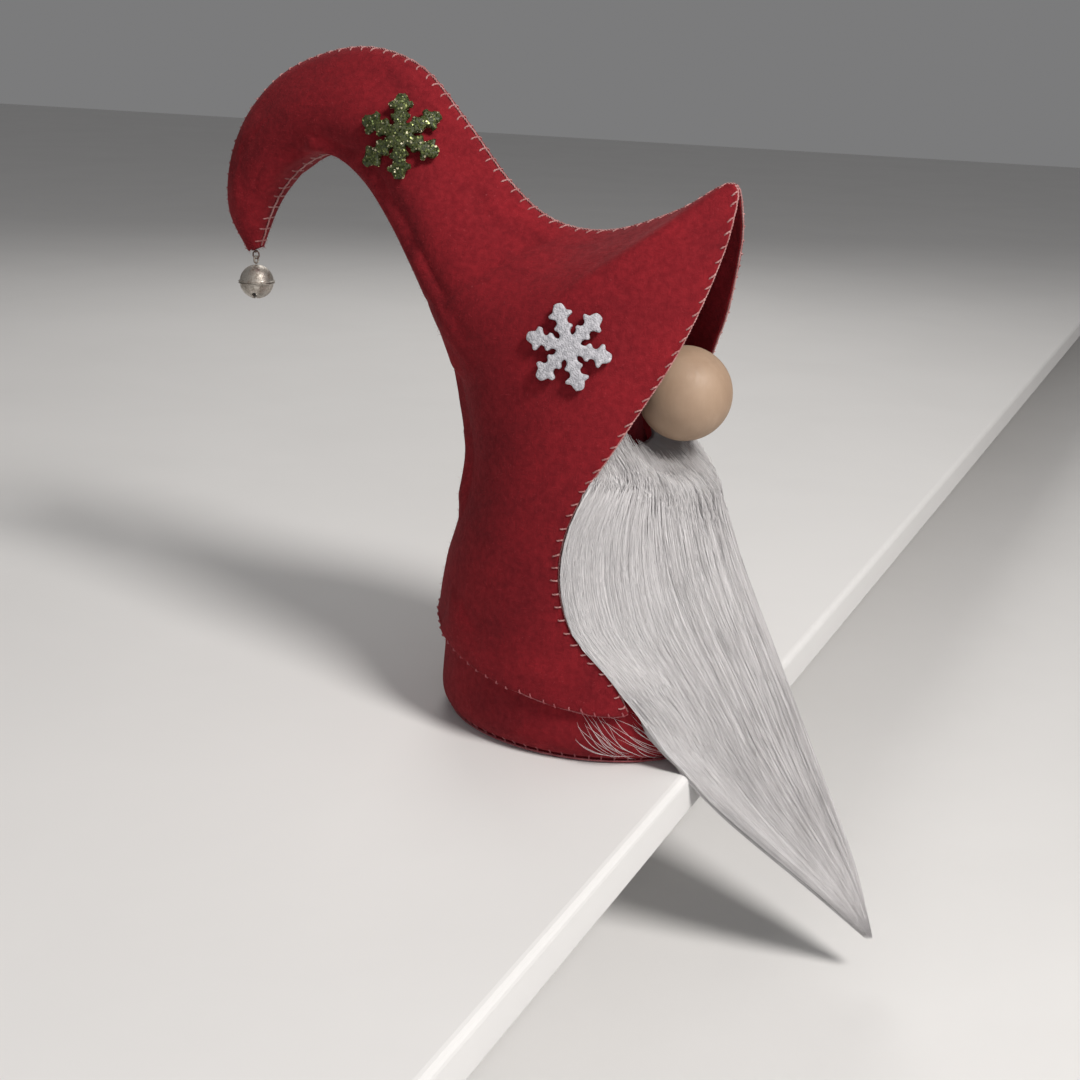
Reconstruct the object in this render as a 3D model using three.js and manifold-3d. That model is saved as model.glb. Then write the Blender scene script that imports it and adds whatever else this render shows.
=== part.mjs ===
// A sewn felt tomte: a tall hooded hat and cape over a weighted body, a wooden ball nose and a long fur beard.
// Millimetres. +Z is up, +X is the way the nose points, and the origin is the middle of the base's flat face.
// It sits on a shelf's edge: the base rests on the shelf and the beard hangs down in front of it.

import * as THREE from 'three';
import { mergeVertices } from 'three/addons/utils/BufferGeometryUtils.js';
import Module from 'manifold-3d';

// ---------------------------------------------------------------- driving dimensions (mm)

const GAP = 0.3;                 // clearance between pieces that touch
const FELT = 1.6;                // thickness of the wool felt
const CARD = 1.5;                // thickness of the stiff card in the base
const THREAD = 0.9;              // diameter of the sewing thread
const THREAD_CLEARANCE = 0.6;    // from the felt's edge to the thread, which bridges the edge's facets

const HAT_HEIGHT = 255;          // top of the arched horn above the base
const HORN_REACH = 168;          // how far the horn leans out behind the base's middle
const CAPE_HALF_WIDTH = 51;      // half the width over the cape's hem
const BODY_HALF_DEPTH = 60;      // half the depth of the body bag at its fullest

const NOSE_DIAMETER = 36;        // wooden ball
const NOSE_HEIGHT = 137;         // middle of the ball above the base
const NOSE_GLUE = 1.6;           // thickness of the glue behind the ball
const NOSE_GLUE_DIAMETER = 12;

const BEARD_DROP = 68;           // how far the beard's tip hangs below the base
const BEARD_BACKING = 1.2;       // thickness of the fur's knitted backing
const BEARD_EDGE = 3;            // thickness of the pile along the beard's sides
const BEARD_HINGE_HEIGHT = 24;   // where the free end of the beard starts to bend

const FLAKE_DIAMETER = 31;       // snowflake over its tips
const FLAKE_THICKNESS = 2.4;
const FLAKE_GLUE_DIAMETER = 8;
const FLAKE_GLUE = 0.5;

const BELL_DIAMETER = 14;        // jingle bell
const BELL_WALL = 0.5;
const BELL_SLOT = 1.2;           // width of the cross-shaped slots in the bell
const PELLET_DIAMETER = 3.6;
const EYE_RADIUS = 1.4;          // wire eye on the bell, to the middle of its wire
const EYE_WIRE = 0.9;            // diameter of that wire
const LOOP_HALF_WIDTH = 1.5;     // thread loop that the bell hangs on
const LOOP_LENGTH = 0.4;         // straight part of the loop
const LOOP_THREAD = 0.7;         // diameter of the loop's doubled thread

const STIFFENER_INSET = 3.4;     // how far the card stops short of the body bag's outside
const BALLAST_HALF_DEPTH = 38;
const BALLAST_HALF_WIDTH = 30;
const BALLAST_HEIGHT = 20;

// Steps of the curved sheets.
const PANEL_STEPS_ALONG = 34;
const PANEL_STEPS_ACROSS = 10;
const RING_POINTS = 24;

// ---------------------------------------------------------------- the pattern

// The hat and cape from the horn's tip to the hem. Each section runs from its front point to its back point
// (x, z) in the side view and bulges out sideways by `wide`. `gap` is half the width that the front is left open
// by, `lens` shapes the front of the section (1 is a sharp ridge, 0.5 a round), and `sag` lowers its middle.
// It is drawn at the size given by DRAWN and stretched to the driving dimensions.
const DRAWN = { height: 255, reach: 168, halfWidth: 51, halfDepth: 60, drop: 68 };
const PATTERN = [
  { front: [-159, 173], back: [-154, 175], wide: 1.6, gap: 0, lens: 0.6, sag: 0 },
  { front: [-168, 190], back: [-148, 190], wide: 7.5, gap: 0, lens: 0.75, sag: 0 },
  { front: [-166, 211], back: [-140, 202], wide: 11.5, gap: 0, lens: 0.8, sag: 0 },
  { front: [-155, 231], back: [-129, 211], wide: 14.5, gap: 0, lens: 0.8, sag: 0 },
  { front: [-135, 247], back: [-117, 215], wide: 16.5, gap: 0, lens: 0.8, sag: 0 },
  { front: [-105, 255], back: [-105, 212], wide: 18, gap: 0, lens: 0.8, sag: 0 },
  { front: [-79, 249], back: [-93, 203], wide: 20, gap: 0, lens: 0.82, sag: 0 },
  { front: [-59, 230], back: [-82, 190], wide: 22.5, gap: 0, lens: 0.85, sag: 0 },
  { front: [-40, 209], back: [-73, 177], wide: 25.5, gap: 0, lens: 0.88, sag: 0 },
  { front: [-21, 196], back: [-65, 164], wide: 29, gap: 0, lens: 0.92, sag: 0 },
  { front: [2, 194], back: [-58, 151], wide: 33, gap: 0, lens: 0.98, sag: 0 },
  { front: [28, 203], back: [-53, 139], wide: 36, gap: 0, lens: 1.05, sag: 0 },
  { front: [48, 214], back: [-50, 127], wide: 38, gap: 0, lens: 1.1, sag: 0 },
  { front: [51, 200], back: [-48, 116], wide: 39, gap: 7, lens: 1.05, sag: 0 },
  { front: [47, 178], back: [-47, 105], wide: 39.5, gap: 15, lens: 0.95, sag: 0 },
  { front: [39, 154], back: [-48.5, 95], wide: 40.5, gap: 24, lens: 0.8, sag: 0 },
  { front: [26, 127], back: [-51, 85], wide: 42.5, gap: 36, lens: 0.65, sag: 0 },
  { front: [12, 99], back: [-54, 75], wide: 45.5, gap: 45, lens: 0.55, sag: 0 },
  { front: [8, 76], back: [-57, 66], wide: 47.5, gap: 48, lens: 0.5, sag: 0 },
  { front: [14, 54], back: [-59, 58], wide: 48.8, gap: 48.5, lens: 0.5, sag: 2 },
  { front: [29, 38], back: [-60.5, 51], wide: 49.1, gap: 45, lens: 0.5, sag: 4 },
  { front: [36, 24], back: [-61.5, 44], wide: 49.1, gap: 42, lens: 0.5, sag: 6 },
];
const LAST = PATTERN.length - 1;
const PEAK = 12;                 // index of the section at the hood's peak, where the front seam ends
const BACK_ROUND = 0.5;          // how round the sections are at the back seam
const STUFFED_FROM = 0.6;        // sections between which the horn is filled with fibre
const STUFFED_TO = 9.3;

// The body bag's horizontal rings: height, back, front and half width.
const BODY_RINGS = [
  [2, -55.5, 55.5, 43.5],
  [4, -58, 58, 46],
  [10, -59.8, 60, 48],
  [25, -59.3, 60, 47.6],
  [45, -57.6, 54, 46.6],
  [65, -53.5, 46, 45.2],
  [85, -48, 35, 43.5],
  [103, -44, 24, 39],
  [120, -44, 16, 35],
  [137, -46, 15.5, 32],
  [155, -45, 9, 27],
  [168, -39, 1, 20],
  [176, -31, -8, 11],
];
const BODY_TOP = 179;

// The beard's horizontal rings: height, front and half width, with the inner face and the sides given below
// the body, where nothing backs the hair.
const BEARD_RINGS = [
  { z: 115, front: 43, half: 33 },
  { z: 107, front: 48, half: 36 },
  { z: 96, front: 51.5, half: 39.5 },
  { z: 78, front: 58, half: 44.5 },
  { z: 58, front: 67, half: 45 },
  { z: 40, front: 76, half: 42.5 },
  { z: 24, front: 84, half: 39.5 },
  { z: 8, front: 91.5, half: 36, inner: 66, side: 49 },
  { z: -10, front: 100.5, half: 29.5, inner: 79, side: 63 },
  { z: -26, front: 109, half: 22, inner: 94, side: 80 },
  { z: -42, front: 117, half: 14, inner: 108, side: 98 },
  { z: -56, front: 122.5, half: 6.5, inner: 117.5, side: 112 },
  { z: -68, front: 126.5, half: 1.2, inner: 126, side: 124.5 },
];
const BEARD_ARC = THREE.MathUtils.degToRad(76);
const BEARD_COLUMNS = 13;

const stretchUp = HAT_HEIGHT / DRAWN.height;
const stretchWide = CAPE_HALF_WIDTH / DRAWN.halfWidth;
const stretchDeep = BODY_HALF_DEPTH / DRAWN.halfDepth;

// The horn stretches with its reach, the hood and cape with the body's depth.
const placeX = (x) => {
  const backOfBody = -DRAWN.halfDepth;
  if (x >= backOfBody) return x * stretchDeep;
  const hornShare = (backOfBody - x) / (DRAWN.reach + backOfBody);
  return -BODY_HALF_DEPTH - hornShare * (HORN_REACH - BODY_HALF_DEPTH);
};
const placeZ = (z) => z * stretchUp;

// ---------------------------------------------------------------- felt panel surface

const feltRidge = FELT + GAP / 2;

// Catmull-Rom curve through one triple of values per section.
const through = (pick) => new THREE.CatmullRomCurve3(
  PATTERN.map((section) => new THREE.Vector3(...pick(section))), false, 'catmullrom', 0.5,
);
const frontLine = through((p) => [placeX(p.front[0]), 0, placeZ(p.front[1])]);
const backLine = through((p) => [placeX(p.back[0]), 0, placeZ(p.back[1])]);
const fullness = through((p) => [p.wide * stretchWide, p.gap * stretchWide, p.lens]);
const sagLine = through((p) => [p.sag, 0, 0]);

// Share of the full bulge at `share` of the way from front to back.
const bulge = (share, lens) => {
  const top = lens / (lens + BACK_ROUND);
  const peak = top ** lens * (1 - top) ** BACK_ROUND;
  return share ** lens * (1 - share) ** BACK_ROUND / peak;
};

// Where the section is as wide as the opening, as a share of its depth.
const openingShare = (gap, wide, lens) => {
  if (gap <= feltRidge) return 0;
  let low = 0;
  let high = lens / (lens + BACK_ROUND);
  for (let i = 0; i < 40; i += 1) {
    const middle = (low + high) / 2;
    if (feltRidge + wide * bulge(middle, lens) < gap) low = middle;
    else high = middle;
  }
  return low;
};

// Point on the outside of the right panel: u runs from tip to hem, v from the front edge to the back seam.
const panelPoint = (u, v) => {
  const front = frontLine.getPoint(u);
  const back = backLine.getPoint(u);
  const { x: wide, y: gap, z: lens } = fullness.getPoint(u);
  const open = openingShare(gap, wide, lens);
  const share = open + (1 - open) * (1 - Math.cos(Math.PI * v)) / 2;
  const sectionFront = back.clone().lerp(front, 1 / (1 - open));
  const point = sectionFront.lerp(back, share);
  point.y = -(feltRidge + wide * bulge(share, lens));
  point.z -= sagLine.getPoint(u).x * Math.sin(Math.PI * v);
  return point;
};

// Outward normal of the right panel.
const panelNormal = (u, v) => {
  const step = 0.004;
  const along = panelPoint(Math.min(u + step, 1), v).sub(panelPoint(Math.max(u - step, 0), v));
  const across = panelPoint(u, Math.min(v + step, 1 - step)).sub(panelPoint(u, Math.max(v - step, step)));
  return along.cross(across).normalize().negate();
};

// A point on the right panel moved in from its outside, kept on its own side of the middle plane.
const panelInside = (u, v, depth, margin) => {
  const point = panelPoint(u, v).addScaledVector(panelNormal(u, v), -depth);
  point.y = Math.min(point.y, -margin);
  return point;
};

// ---------------------------------------------------------------- mesh helpers

const wasm = await Module();
wasm.setup();

const range = (count, make) => Array.from({ length: count }, (_, index) => make(index));
const lerp = THREE.MathUtils.lerp;

// Geometry from points and triangles, turned so that its faces point out.
const solidFrom = (points, triangles) => {
  const volume = triangles.reduce((sum, [a, b, c]) => (
    sum + points[a].dot(new THREE.Vector3().crossVectors(points[b], points[c]))
  ), 0);
  const faces = volume < 0 ? triangles.map(([a, b, c]) => [a, c, b]) : triangles;
  const geometry = new THREE.BufferGeometry();
  geometry.setAttribute('position', new THREE.Float32BufferAttribute(points.flatMap((p) => p.toArray()), 3));
  geometry.setIndex(faces.flat());
  return geometry;
};

// Closed skin over rings of equal point counts, with a fan at each end.
const skin = (rings) => {
  const count = rings[0].length;
  const points = rings.flat();
  const triangles = [];
  for (let ring = 0; ring + 1 < rings.length; ring += 1) {
    for (let i = 0; i < count; i += 1) {
      const a = ring * count + i;
      const b = ring * count + (i + 1) % count;
      triangles.push([a, b, a + count], [b, b + count, a + count]);
    }
  }
  const cap = (ring, flip) => {
    const middle = ring.reduce((sum, p) => sum.add(p), new THREE.Vector3()).divideScalar(count);
    const start = points.indexOf(ring[0]);
    points.push(middle);
    for (let i = 0; i < count; i += 1) {
      const edge = [start + i, start + (i + 1) % count];
      triangles.push(flip ? [points.length - 1, edge[1], edge[0]] : [points.length - 1, edge[0], edge[1]]);
    }
  };
  cap(rings[0], true);
  cap(rings[rings.length - 1], false);
  return solidFrom(points, triangles);
};

// Closed sheet between two grids of points, row by row, joined round their edges.
const sheet = (outer, inner) => {
  const rows = outer.length;
  const columns = outer[0].length;
  const points = [...outer.flat(), ...inner.flat()];
  const at = (row, column, side) => side * rows * columns + row * columns + column;
  const triangles = [];
  const quad = (a, b, c, d) => triangles.push([a, b, c], [a, c, d]);
  for (let row = 0; row + 1 < rows; row += 1) {
    for (let column = 0; column + 1 < columns; column += 1) {
      const corners = [[row, column], [row, column + 1], [row + 1, column + 1], [row + 1, column]];
      const [a, b, c, d] = corners.map(([r, col]) => at(r, col, 0));
      triangles.push([a, b, c], [a, c, d]);
      const [e, f, g, h] = corners.map(([r, col]) => at(r, col, 1));
      triangles.push([e, g, f], [e, h, g]);
    }
    quad(at(row, 0, 0), at(row + 1, 0, 0), at(row + 1, 0, 1), at(row, 0, 1));
    quad(at(row, columns - 1, 1), at(row + 1, columns - 1, 1), at(row + 1, columns - 1, 0), at(row, columns - 1, 0));
  }
  for (let column = 0; column + 1 < columns; column += 1) {
    quad(at(0, column + 1, 0), at(0, column, 0), at(0, column, 1), at(0, column + 1, 1));
    quad(at(rows - 1, column, 0), at(rows - 1, column + 1, 0), at(rows - 1, column + 1, 1), at(rows - 1, column, 1));
  }
  return solidFrom(points, triangles);
};

const circleShape = (radius, sides) => new THREE.Shape(range(sides, (i) => {
  const angle = (2 * Math.PI * i) / sides;
  return new THREE.Vector2(radius * Math.cos(angle), radius * Math.sin(angle));
}));

// Thread along an open run of points.
const thread = (points, diameter, steps, sides = 4) => new THREE.ExtrudeGeometry(
  circleShape(diameter / 2, sides),
  { steps, extrudePath: new THREE.CatmullRomCurve3(points, false, 'centripetal') },
);

// Closed loop of thread or wire: points(angle) is its middle line and out(angle) points away from its centre.
const loop = (middle, out, side, diameter, steps, sides) => {
  const radius = diameter / 2;
  const points = range(steps * sides, (index) => {
    const angle = (2 * Math.PI * Math.floor(index / sides)) / steps;
    const turn = (2 * Math.PI * (index % sides)) / sides;
    return middle(angle)
      .addScaledVector(out(angle), radius * Math.cos(turn))
      .addScaledVector(side, radius * Math.sin(turn));
  });
  const triangles = [];
  for (let step = 0; step < steps; step += 1) {
    for (let i = 0; i < sides; i += 1) {
      const next = ((step + 1) % steps) * sides;
      const [a, b] = [step * sides + i, step * sides + (i + 1) % sides];
      const [c, d] = [next + (i + 1) % sides, next + i];
      triangles.push([a, b, c], [a, c, d]);
    }
  }
  return solidFrom(points, triangles);
};

const toManifold = (geometry) => {
  const bare = geometry.clone();
  bare.deleteAttribute('normal');
  bare.deleteAttribute('uv');
  const merged = mergeVertices(bare, 1e-4);
  return new wasm.Manifold(new wasm.Mesh({
    numProp: 3,
    vertProperties: Float32Array.from(merged.attributes.position.array),
    triVerts: Uint32Array.from(merged.index.array),
  }));
};

const fromManifold = (solid) => {
  const mesh = solid.getMesh();
  const geometry = new THREE.BufferGeometry();
  geometry.setAttribute('position', new THREE.BufferAttribute(mesh.vertProperties, 3));
  geometry.setIndex(new THREE.BufferAttribute(mesh.triVerts, 1));
  return geometry;
};

const subtract = (geometry, ...cutters) => fromManifold(
  cutters.reduce((solid, cutter) => solid.subtract(toManifold(cutter)), toManifold(geometry)),
);

// ---------------------------------------------------------------- colours

const material = (color, roughness, metalness = 0) => new THREE.MeshStandardMaterial({ color, roughness, metalness });
const finish = {
  redFelt: () => material(0x9a1f26, 0.95),
  fibrefill: () => material(0xece8e0, 1),
  ballast: () => material(0xb9a27c, 1),
  card: () => material(0xa58a66, 0.9),
  wood: () => material(0xc8ab84, 0.6),
  glue: () => material(0xd9d6c8, 0.35),
  fur: () => material(0xc9c6c4, 0.7),
  knit: () => material(0xd8d4cc, 0.95),
  whiteFoam: () => material(0xdcdbe2, 0.8),
  greenGlitter: () => material(0x3d4524, 0.35, 0.4),
  silver: () => material(0x8d877e, 0.4, 1),
  thread: () => material(0xc99a98, 0.8),
  darkThread: () => material(0x5a4038, 0.8),
};

const figurine = new THREE.Group();
const add = (name, geometry, surface, parent = figurine) => {
  const mesh = new THREE.Mesh(geometry, surface);
  mesh.name = name;
  parent.add(mesh);
  return mesh;
};

// Point of the left side that matches one of the right side.
const mirrored = (point) => point.clone().setY(-point.y);

// ---------------------------------------------------------------- hat and cape

const addPanels = () => {
  const rows = range(PANEL_STEPS_ALONG + 1, (i) => i / PANEL_STEPS_ALONG);
  const columns = range(PANEL_STEPS_ACROSS + 1, (i) => i / PANEL_STEPS_ACROSS);
  const outer = rows.map((u) => columns.map((v) => panelPoint(u, v)));
  const inner = rows.map((u) => columns.map((v) => {
    const seamEdge = v === 1 || (v === 0 && u <= PEAK / LAST);
    return seamEdge ? panelPoint(u, v).setY(-GAP / 2) : panelInside(u, v, FELT, GAP / 2);
  }));
  add('hat_panel_right', sheet(outer, inner), finish.redFelt());
  const flip = (grid) => grid.map((row) => row.map(mirrored));
  add('hat_panel_left', sheet(flip(outer), flip(inner)), finish.redFelt());
};

// Fibre filling of the horn, which follows the inside of the panels.
const addHatStuffing = () => {
  const first = STUFFED_FROM / LAST;
  const last = STUFFED_TO / LAST;
  const depth = FELT + 3 * GAP;
  const ridgeDepth = 1.6 * depth;    // the panels lean together at their seams
  const steps = 16;
  const across = 7;
  const rings = range(steps + 1, (i) => {
    const u = lerp(first, last, i / steps);
    const front = panelPoint(u, 0).setY(0);
    const back = panelPoint(u, 1).setY(0);
    const inwards = back.clone().sub(front).normalize();
    const right = range(across - 1, (j) => panelInside(u, (j + 1) / across, depth, 2 * GAP));
    const ends = [front.addScaledVector(inwards, ridgeDepth), back.addScaledVector(inwards, -ridgeDepth)];
    return [ends[0], ...right, ends[1], ...right.map(mirrored).reverse()];
  });
  add('hat_stuffing', skin(rings), finish.fibrefill());
};

// ---------------------------------------------------------------- body

const bodyRows = BODY_RINGS.map(([z, back, front, half]) => ({
  z: placeZ(z), back: back * stretchDeep, front: front * stretchDeep, half: half * stretchWide,
}));

// The body bag's back, front and half width at a height, drawn in by `inset`.
const bodyAt = (z, inset = 0) => {
  const last = bodyRows.length - 1;
  let row = bodyRows.findIndex((item) => item.z >= z);
  if (row < 0) row = last;
  row = Math.max(row, 1);
  const [low, high] = [bodyRows[row - 1], bodyRows[row]];
  const share = THREE.MathUtils.clamp((z - low.z) / (high.z - low.z), 0, 1);
  const value = (key) => lerp(low[key], high[key], share);
  return { back: value('back') + inset, front: value('front') - inset, half: value('half') - inset };
};

const ellipseRing = (z, { back, front, half }) => range(RING_POINTS, (i) => {
  const angle = (2 * Math.PI * i) / RING_POINTS;
  const middle = (back + front) / 2;
  return new THREE.Vector3(middle + (front - back) / 2 * Math.cos(angle), half * Math.sin(angle), z);
});

const bodyRings = (inset, bottom, top) => {
  const heights = bodyRows.map((row) => row.z).filter((z) => z > bottom && z < top);
  const capped = [bottom, ...heights, top];
  return capped.map((z) => ellipseRing(z, bodyAt(z, inset)));
};

const discBottom = 0;
const discTop = discBottom + FELT;
const bagBottom = discTop + GAP;
const stiffenerBottom = discTop + GAP;
const stiffenerTop = stiffenerBottom + CARD;
const ballastBottom = stiffenerTop + GAP;
const ballastTop = ballastBottom + BALLAST_HEIGHT;
const bodyTop = placeZ(BODY_TOP);

const addBodyBag = () => {
  const domeTop = bodyRows[bodyRows.length - 1].z;
  const outside = bodyRings(0, bagBottom, domeTop);
  const inside = bodyRings(FELT, bagBottom, domeTop - FELT).reverse();
  const apex = (height, base) => ellipseRing(height, { back: -1, front: 1, half: 1 }).map((point) => (
    point.add(new THREE.Vector3((base.back + base.front) / 2, 0, 0))
  ));
  const crown = bodyAt(domeTop);
  const rings = [apex(bodyTop - FELT, crown), ...inside, ...outside, apex(bodyTop, crown)];
  add('body_bag', skin(rings), finish.redFelt());
};

const addBodyFilling = () => {
  const inset = FELT + 2 * GAP;
  const top = bodyRows[bodyRows.length - 1].z - FELT - 2 * GAP;
  const filling = skin(bodyRings(inset, ballastBottom, top));
  const pocketFloor = ballastBottom - 1;
  const puck = (grow, bottom, height) => {
    const shape = (inward) => ({
      back: -BALLAST_HALF_DEPTH - grow + inward,
      front: BALLAST_HALF_DEPTH + grow - inward,
      half: BALLAST_HALF_WIDTH + grow - inward,
    });
    const round = height / 4;
    return skin([
      ellipseRing(bottom, shape(round / 2)),
      ellipseRing(bottom + round, shape(0)),
      ellipseRing(bottom + height - round, shape(0)),
      ellipseRing(bottom + height, shape(round)),
    ]);
  };
  const pocket = puck(2 * GAP, pocketFloor, ballastTop - pocketFloor + 2 * GAP);
  add('body_stuffing', subtract(filling, pocket), finish.fibrefill());
  add('ballast_bag', puck(0, ballastBottom, BALLAST_HEIGHT), finish.ballast());
};

const addBase = () => {
  const rim = bodyAt(bagBottom);
  add('base_disc', skin([ellipseRing(discBottom, rim), ellipseRing(discTop, rim)]), finish.redFelt());
  const card = bodyAt(bagBottom, STIFFENER_INSET);
  add('base_stiffener', skin([ellipseRing(stiffenerBottom, card), ellipseRing(stiffenerTop, card)]), finish.card());
  const radiusX = (rim.front - rim.back) / 2 + GAP + THREAD / 2;
  const radiusY = rim.half + GAP + THREAD / 2;
  const height = THREAD / 2 + GAP;
  add('base_seam_thread', loop(
    (angle) => new THREE.Vector3(radiusX * Math.cos(angle), radiusY * Math.sin(angle), height),
    (angle) => new THREE.Vector3(Math.cos(angle), Math.sin(angle), 0),
    new THREE.Vector3(0, 0, 1),
    THREAD,
    48,
    4,
  ), finish.thread());
};

// ---------------------------------------------------------------- nose

const noseRadius = NOSE_DIAMETER / 2;
const noseHeight = placeZ(NOSE_HEIGHT);
const headFront = bodyAt(noseHeight).front;
const noseX = headFront + NOSE_GLUE + noseRadius;

const addNose = () => {
  const ball = new THREE.SphereGeometry(noseRadius, 20, 14).rotateZ(Math.PI / 2);
  add('nose_ball', ball, finish.wood()).position.set(noseX, 0, noseHeight);
  const radius = NOSE_GLUE_DIAMETER / 2;
  const dish = noseRadius - Math.sqrt(noseRadius ** 2 - radius ** 2);
  const back = GAP;
  const face = NOSE_GLUE - GAP;
  const profile = [[0, back], [radius, back], [radius, face + dish / 2], [radius / 2, face], [0, face - GAP / 2]];
  const blob = new THREE.LatheGeometry(profile.map(([r, h]) => new THREE.Vector2(r, h)), 12).rotateZ(-Math.PI / 2);
  add('nose_glue', blob, finish.glue()).position.set(headFront, 0, noseHeight);
};

// ---------------------------------------------------------------- beard

const beardPlaceZ = (z) => (z >= 0 ? placeZ(z) : z * BEARD_DROP / DRAWN.drop);
const hingeHeight = placeZ(BEARD_HINGE_HEIGHT);

// Value of a key at a height in rows listed from the top down.
const valueAt = (rows, z, key) => {
  const row = THREE.MathUtils.clamp(rows.findIndex((ring) => ring.z <= z), 1, rows.length - 1);
  const [high, low] = [rows[row - 1], rows[row]];
  return lerp(high[key], low[key], (high.z - z) / (high.z - low.z));
};
const beardOutline = BEARD_RINGS.map((ring) => ({
  z: beardPlaceZ(ring.z), half: ring.half * stretchWide, front: ring.front * stretchDeep,
}));
const hangingOutline = BEARD_RINGS.filter((ring) => ring.side !== undefined).map((ring) => ({
  z: beardPlaceZ(ring.z), inner: ring.inner * stretchDeep, side: ring.side * stretchDeep,
}));
const hangFrom = hangingOutline[0].z;

// One ring of the beard. Above `hangFrom` its back lies on the body bag, and it is no wider than that.
const beardRing = (z) => {
  const ring = { z, half: valueAt(beardOutline, z, 'half'), front: valueAt(beardOutline, z, 'front') };
  if (z > hangFrom) return { ...ring, half: Math.min(ring.half, bodyAt(z).half) };
  return { ...ring, inner: valueAt(hangingOutline, z, 'inner'), side: valueAt(hangingOutline, z, 'side') };
};

// Points across the beard at one height, from its right side to its left: at depth `front` in the middle
// and `side` at the sides.
const acrossBeard = ({ z, half }, front, side) => range(BEARD_COLUMNS, (i) => {
  const angle = lerp(-BEARD_ARC, BEARD_ARC, i / (BEARD_COLUMNS - 1));
  const round = (Math.cos(angle) - Math.cos(BEARD_ARC)) / (1 - Math.cos(BEARD_ARC));
  return new THREE.Vector3(side + (front - side) * round, half * Math.sin(angle) / Math.sin(BEARD_ARC), z);
});

// The same points on the body bag, moved out from it by `depth`.
const acrossBag = (ring, depth) => {
  const { back, front, half } = bodyAt(ring.z, -depth);
  return acrossBeard(ring, 0, 0).map((point) => point.setX(
    (back + front) / 2 + (front - back) / 2 * Math.sqrt(1 - (point.y / half) ** 2),
  ));
};

const backingDepth = 3 * GAP;
const pileDepth = backingDepth + BEARD_BACKING + GAP;
const pileBack = (ring) => (
  ring.side === undefined ? acrossBag(ring, pileDepth) : acrossBeard(ring, ring.inner, ring.side)
);
const pileFace = (ring) => {
  const side = pileBack(ring)[0].x + Math.min(BEARD_EDGE, ring.half / 3);
  return acrossBeard(ring, ring.front, side);
};

const addBeard = () => {
  const bodyHeights = bodyRows.map((row) => row.z).filter((z) => z > hingeHeight + 1);
  const heights = [...beardOutline.map((ring) => ring.z), ...bodyHeights]
    .filter((z) => z <= beardOutline[0].z)
    .sort((low, high) => high - low)
    .filter((z, i, all) => i === 0 || all[i - 1] - z > 1);
  const upper = [...heights.filter((z) => z > hingeHeight + 1), hingeHeight + GAP / 2].map(beardRing);
  const free = [hingeHeight - GAP, ...heights.filter((z) => z < hingeHeight - 1)].map(beardRing);
  add('beard_pile', sheet(upper.map(pileFace), upper.map(pileBack)), finish.fur());
  const knit = (depth) => upper.map((ring) => acrossBag(ring, depth));
  add('beard_backing', sheet(knit(backingDepth + BEARD_BACKING), knit(backingDepth)), finish.knit());
  add('beard_tail', sheet(free.map(pileFace), free.map(pileBack)), finish.fur());
};

// ---------------------------------------------------------------- snowflakes

// Half outline of one arm: distance from the middle and half width. Small side lobes, then a bigger end.
const FLAKE_ARM = [[0.3, 0.17], [0.42, 0.12], [0.5, 0.22], [0.6, 0.2], [0.64, 0.12], [0.74, 0.27], [0.86, 0.25]];

const snowflake = () => {
  const radius = FLAKE_DIAMETER / 2;
  const arm = [
    ...FLAKE_ARM.map(([r, w]) => [r, -w]),
    [0.9, -0.1],
    [1, 0],
    [0.9, 0.1],
    ...FLAKE_ARM.map(([r, w]) => [r, w]).reverse(),
  ];
  const outline = range(6, (i) => {
    const turn = (Math.PI * i) / 3;
    return arm.slice(1, -1).map(([r, w]) => new THREE.Vector2(r * radius, w * radius)
      .rotateAround(new THREE.Vector2(), turn));
  }).flat();
  return new THREE.ExtrudeGeometry(new THREE.Shape(outline), { depth: FLAKE_THICKNESS, bevelEnabled: false });
};

// Where the snowflakes sit: pattern section, share across the panel and turn in radians.
const WHITE_FLAKE = { section: 13.25, across: 0.48, turn: 0.02 };
const GREEN_FLAKE = { section: 6.5, across: 0.42, turn: -0.11 };

// A snowflake and its glue, flat against the right panel.
const addSnowflake = (name, { section, across: v, turn }, surface) => {
  const u = section / LAST;
  const seat = new THREE.Group();
  const normal = panelNormal(u, v);
  seat.position.copy(panelPoint(u, v));
  seat.quaternion.setFromUnitVectors(new THREE.Vector3(0, 0, 1), normal);
  figurine.add(seat);
  const glue = new THREE.CylinderGeometry(FLAKE_GLUE_DIAMETER / 2, FLAKE_GLUE_DIAMETER / 2, FLAKE_GLUE, 12);
  glue.rotateX(Math.PI / 2);
  add(`${name}_glue`, glue, finish.glue(), seat).position.z = GAP + FLAKE_GLUE / 2;
  const flake = add(`snowflake_${name}`, snowflake(), surface, seat);
  flake.position.z = FLAKE_GLUE + 2 * GAP;
  flake.rotation.z = turn;
};

// ---------------------------------------------------------------- bell

const tipBottom = panelPoint(0, 0.5).z;
const tipX = (panelPoint(0, 0).x + panelPoint(0, 1).x) / 2;
const loopTop = tipBottom - GAP - LOOP_THREAD / 2 - LOOP_HALF_WIDTH;
const loopBottom = loopTop - LOOP_LENGTH - LOOP_HALF_WIDTH;
const eyeTop = loopBottom + LOOP_THREAD / 2 + GAP + EYE_WIRE / 2;
const eyeMiddle = eyeTop - EYE_RADIUS;
const bellRadius = BELL_DIAMETER / 2;
const bellTop = eyeMiddle - EYE_RADIUS - EYE_WIRE / 2 - GAP;
const bellMiddle = bellTop - bellRadius;

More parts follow.
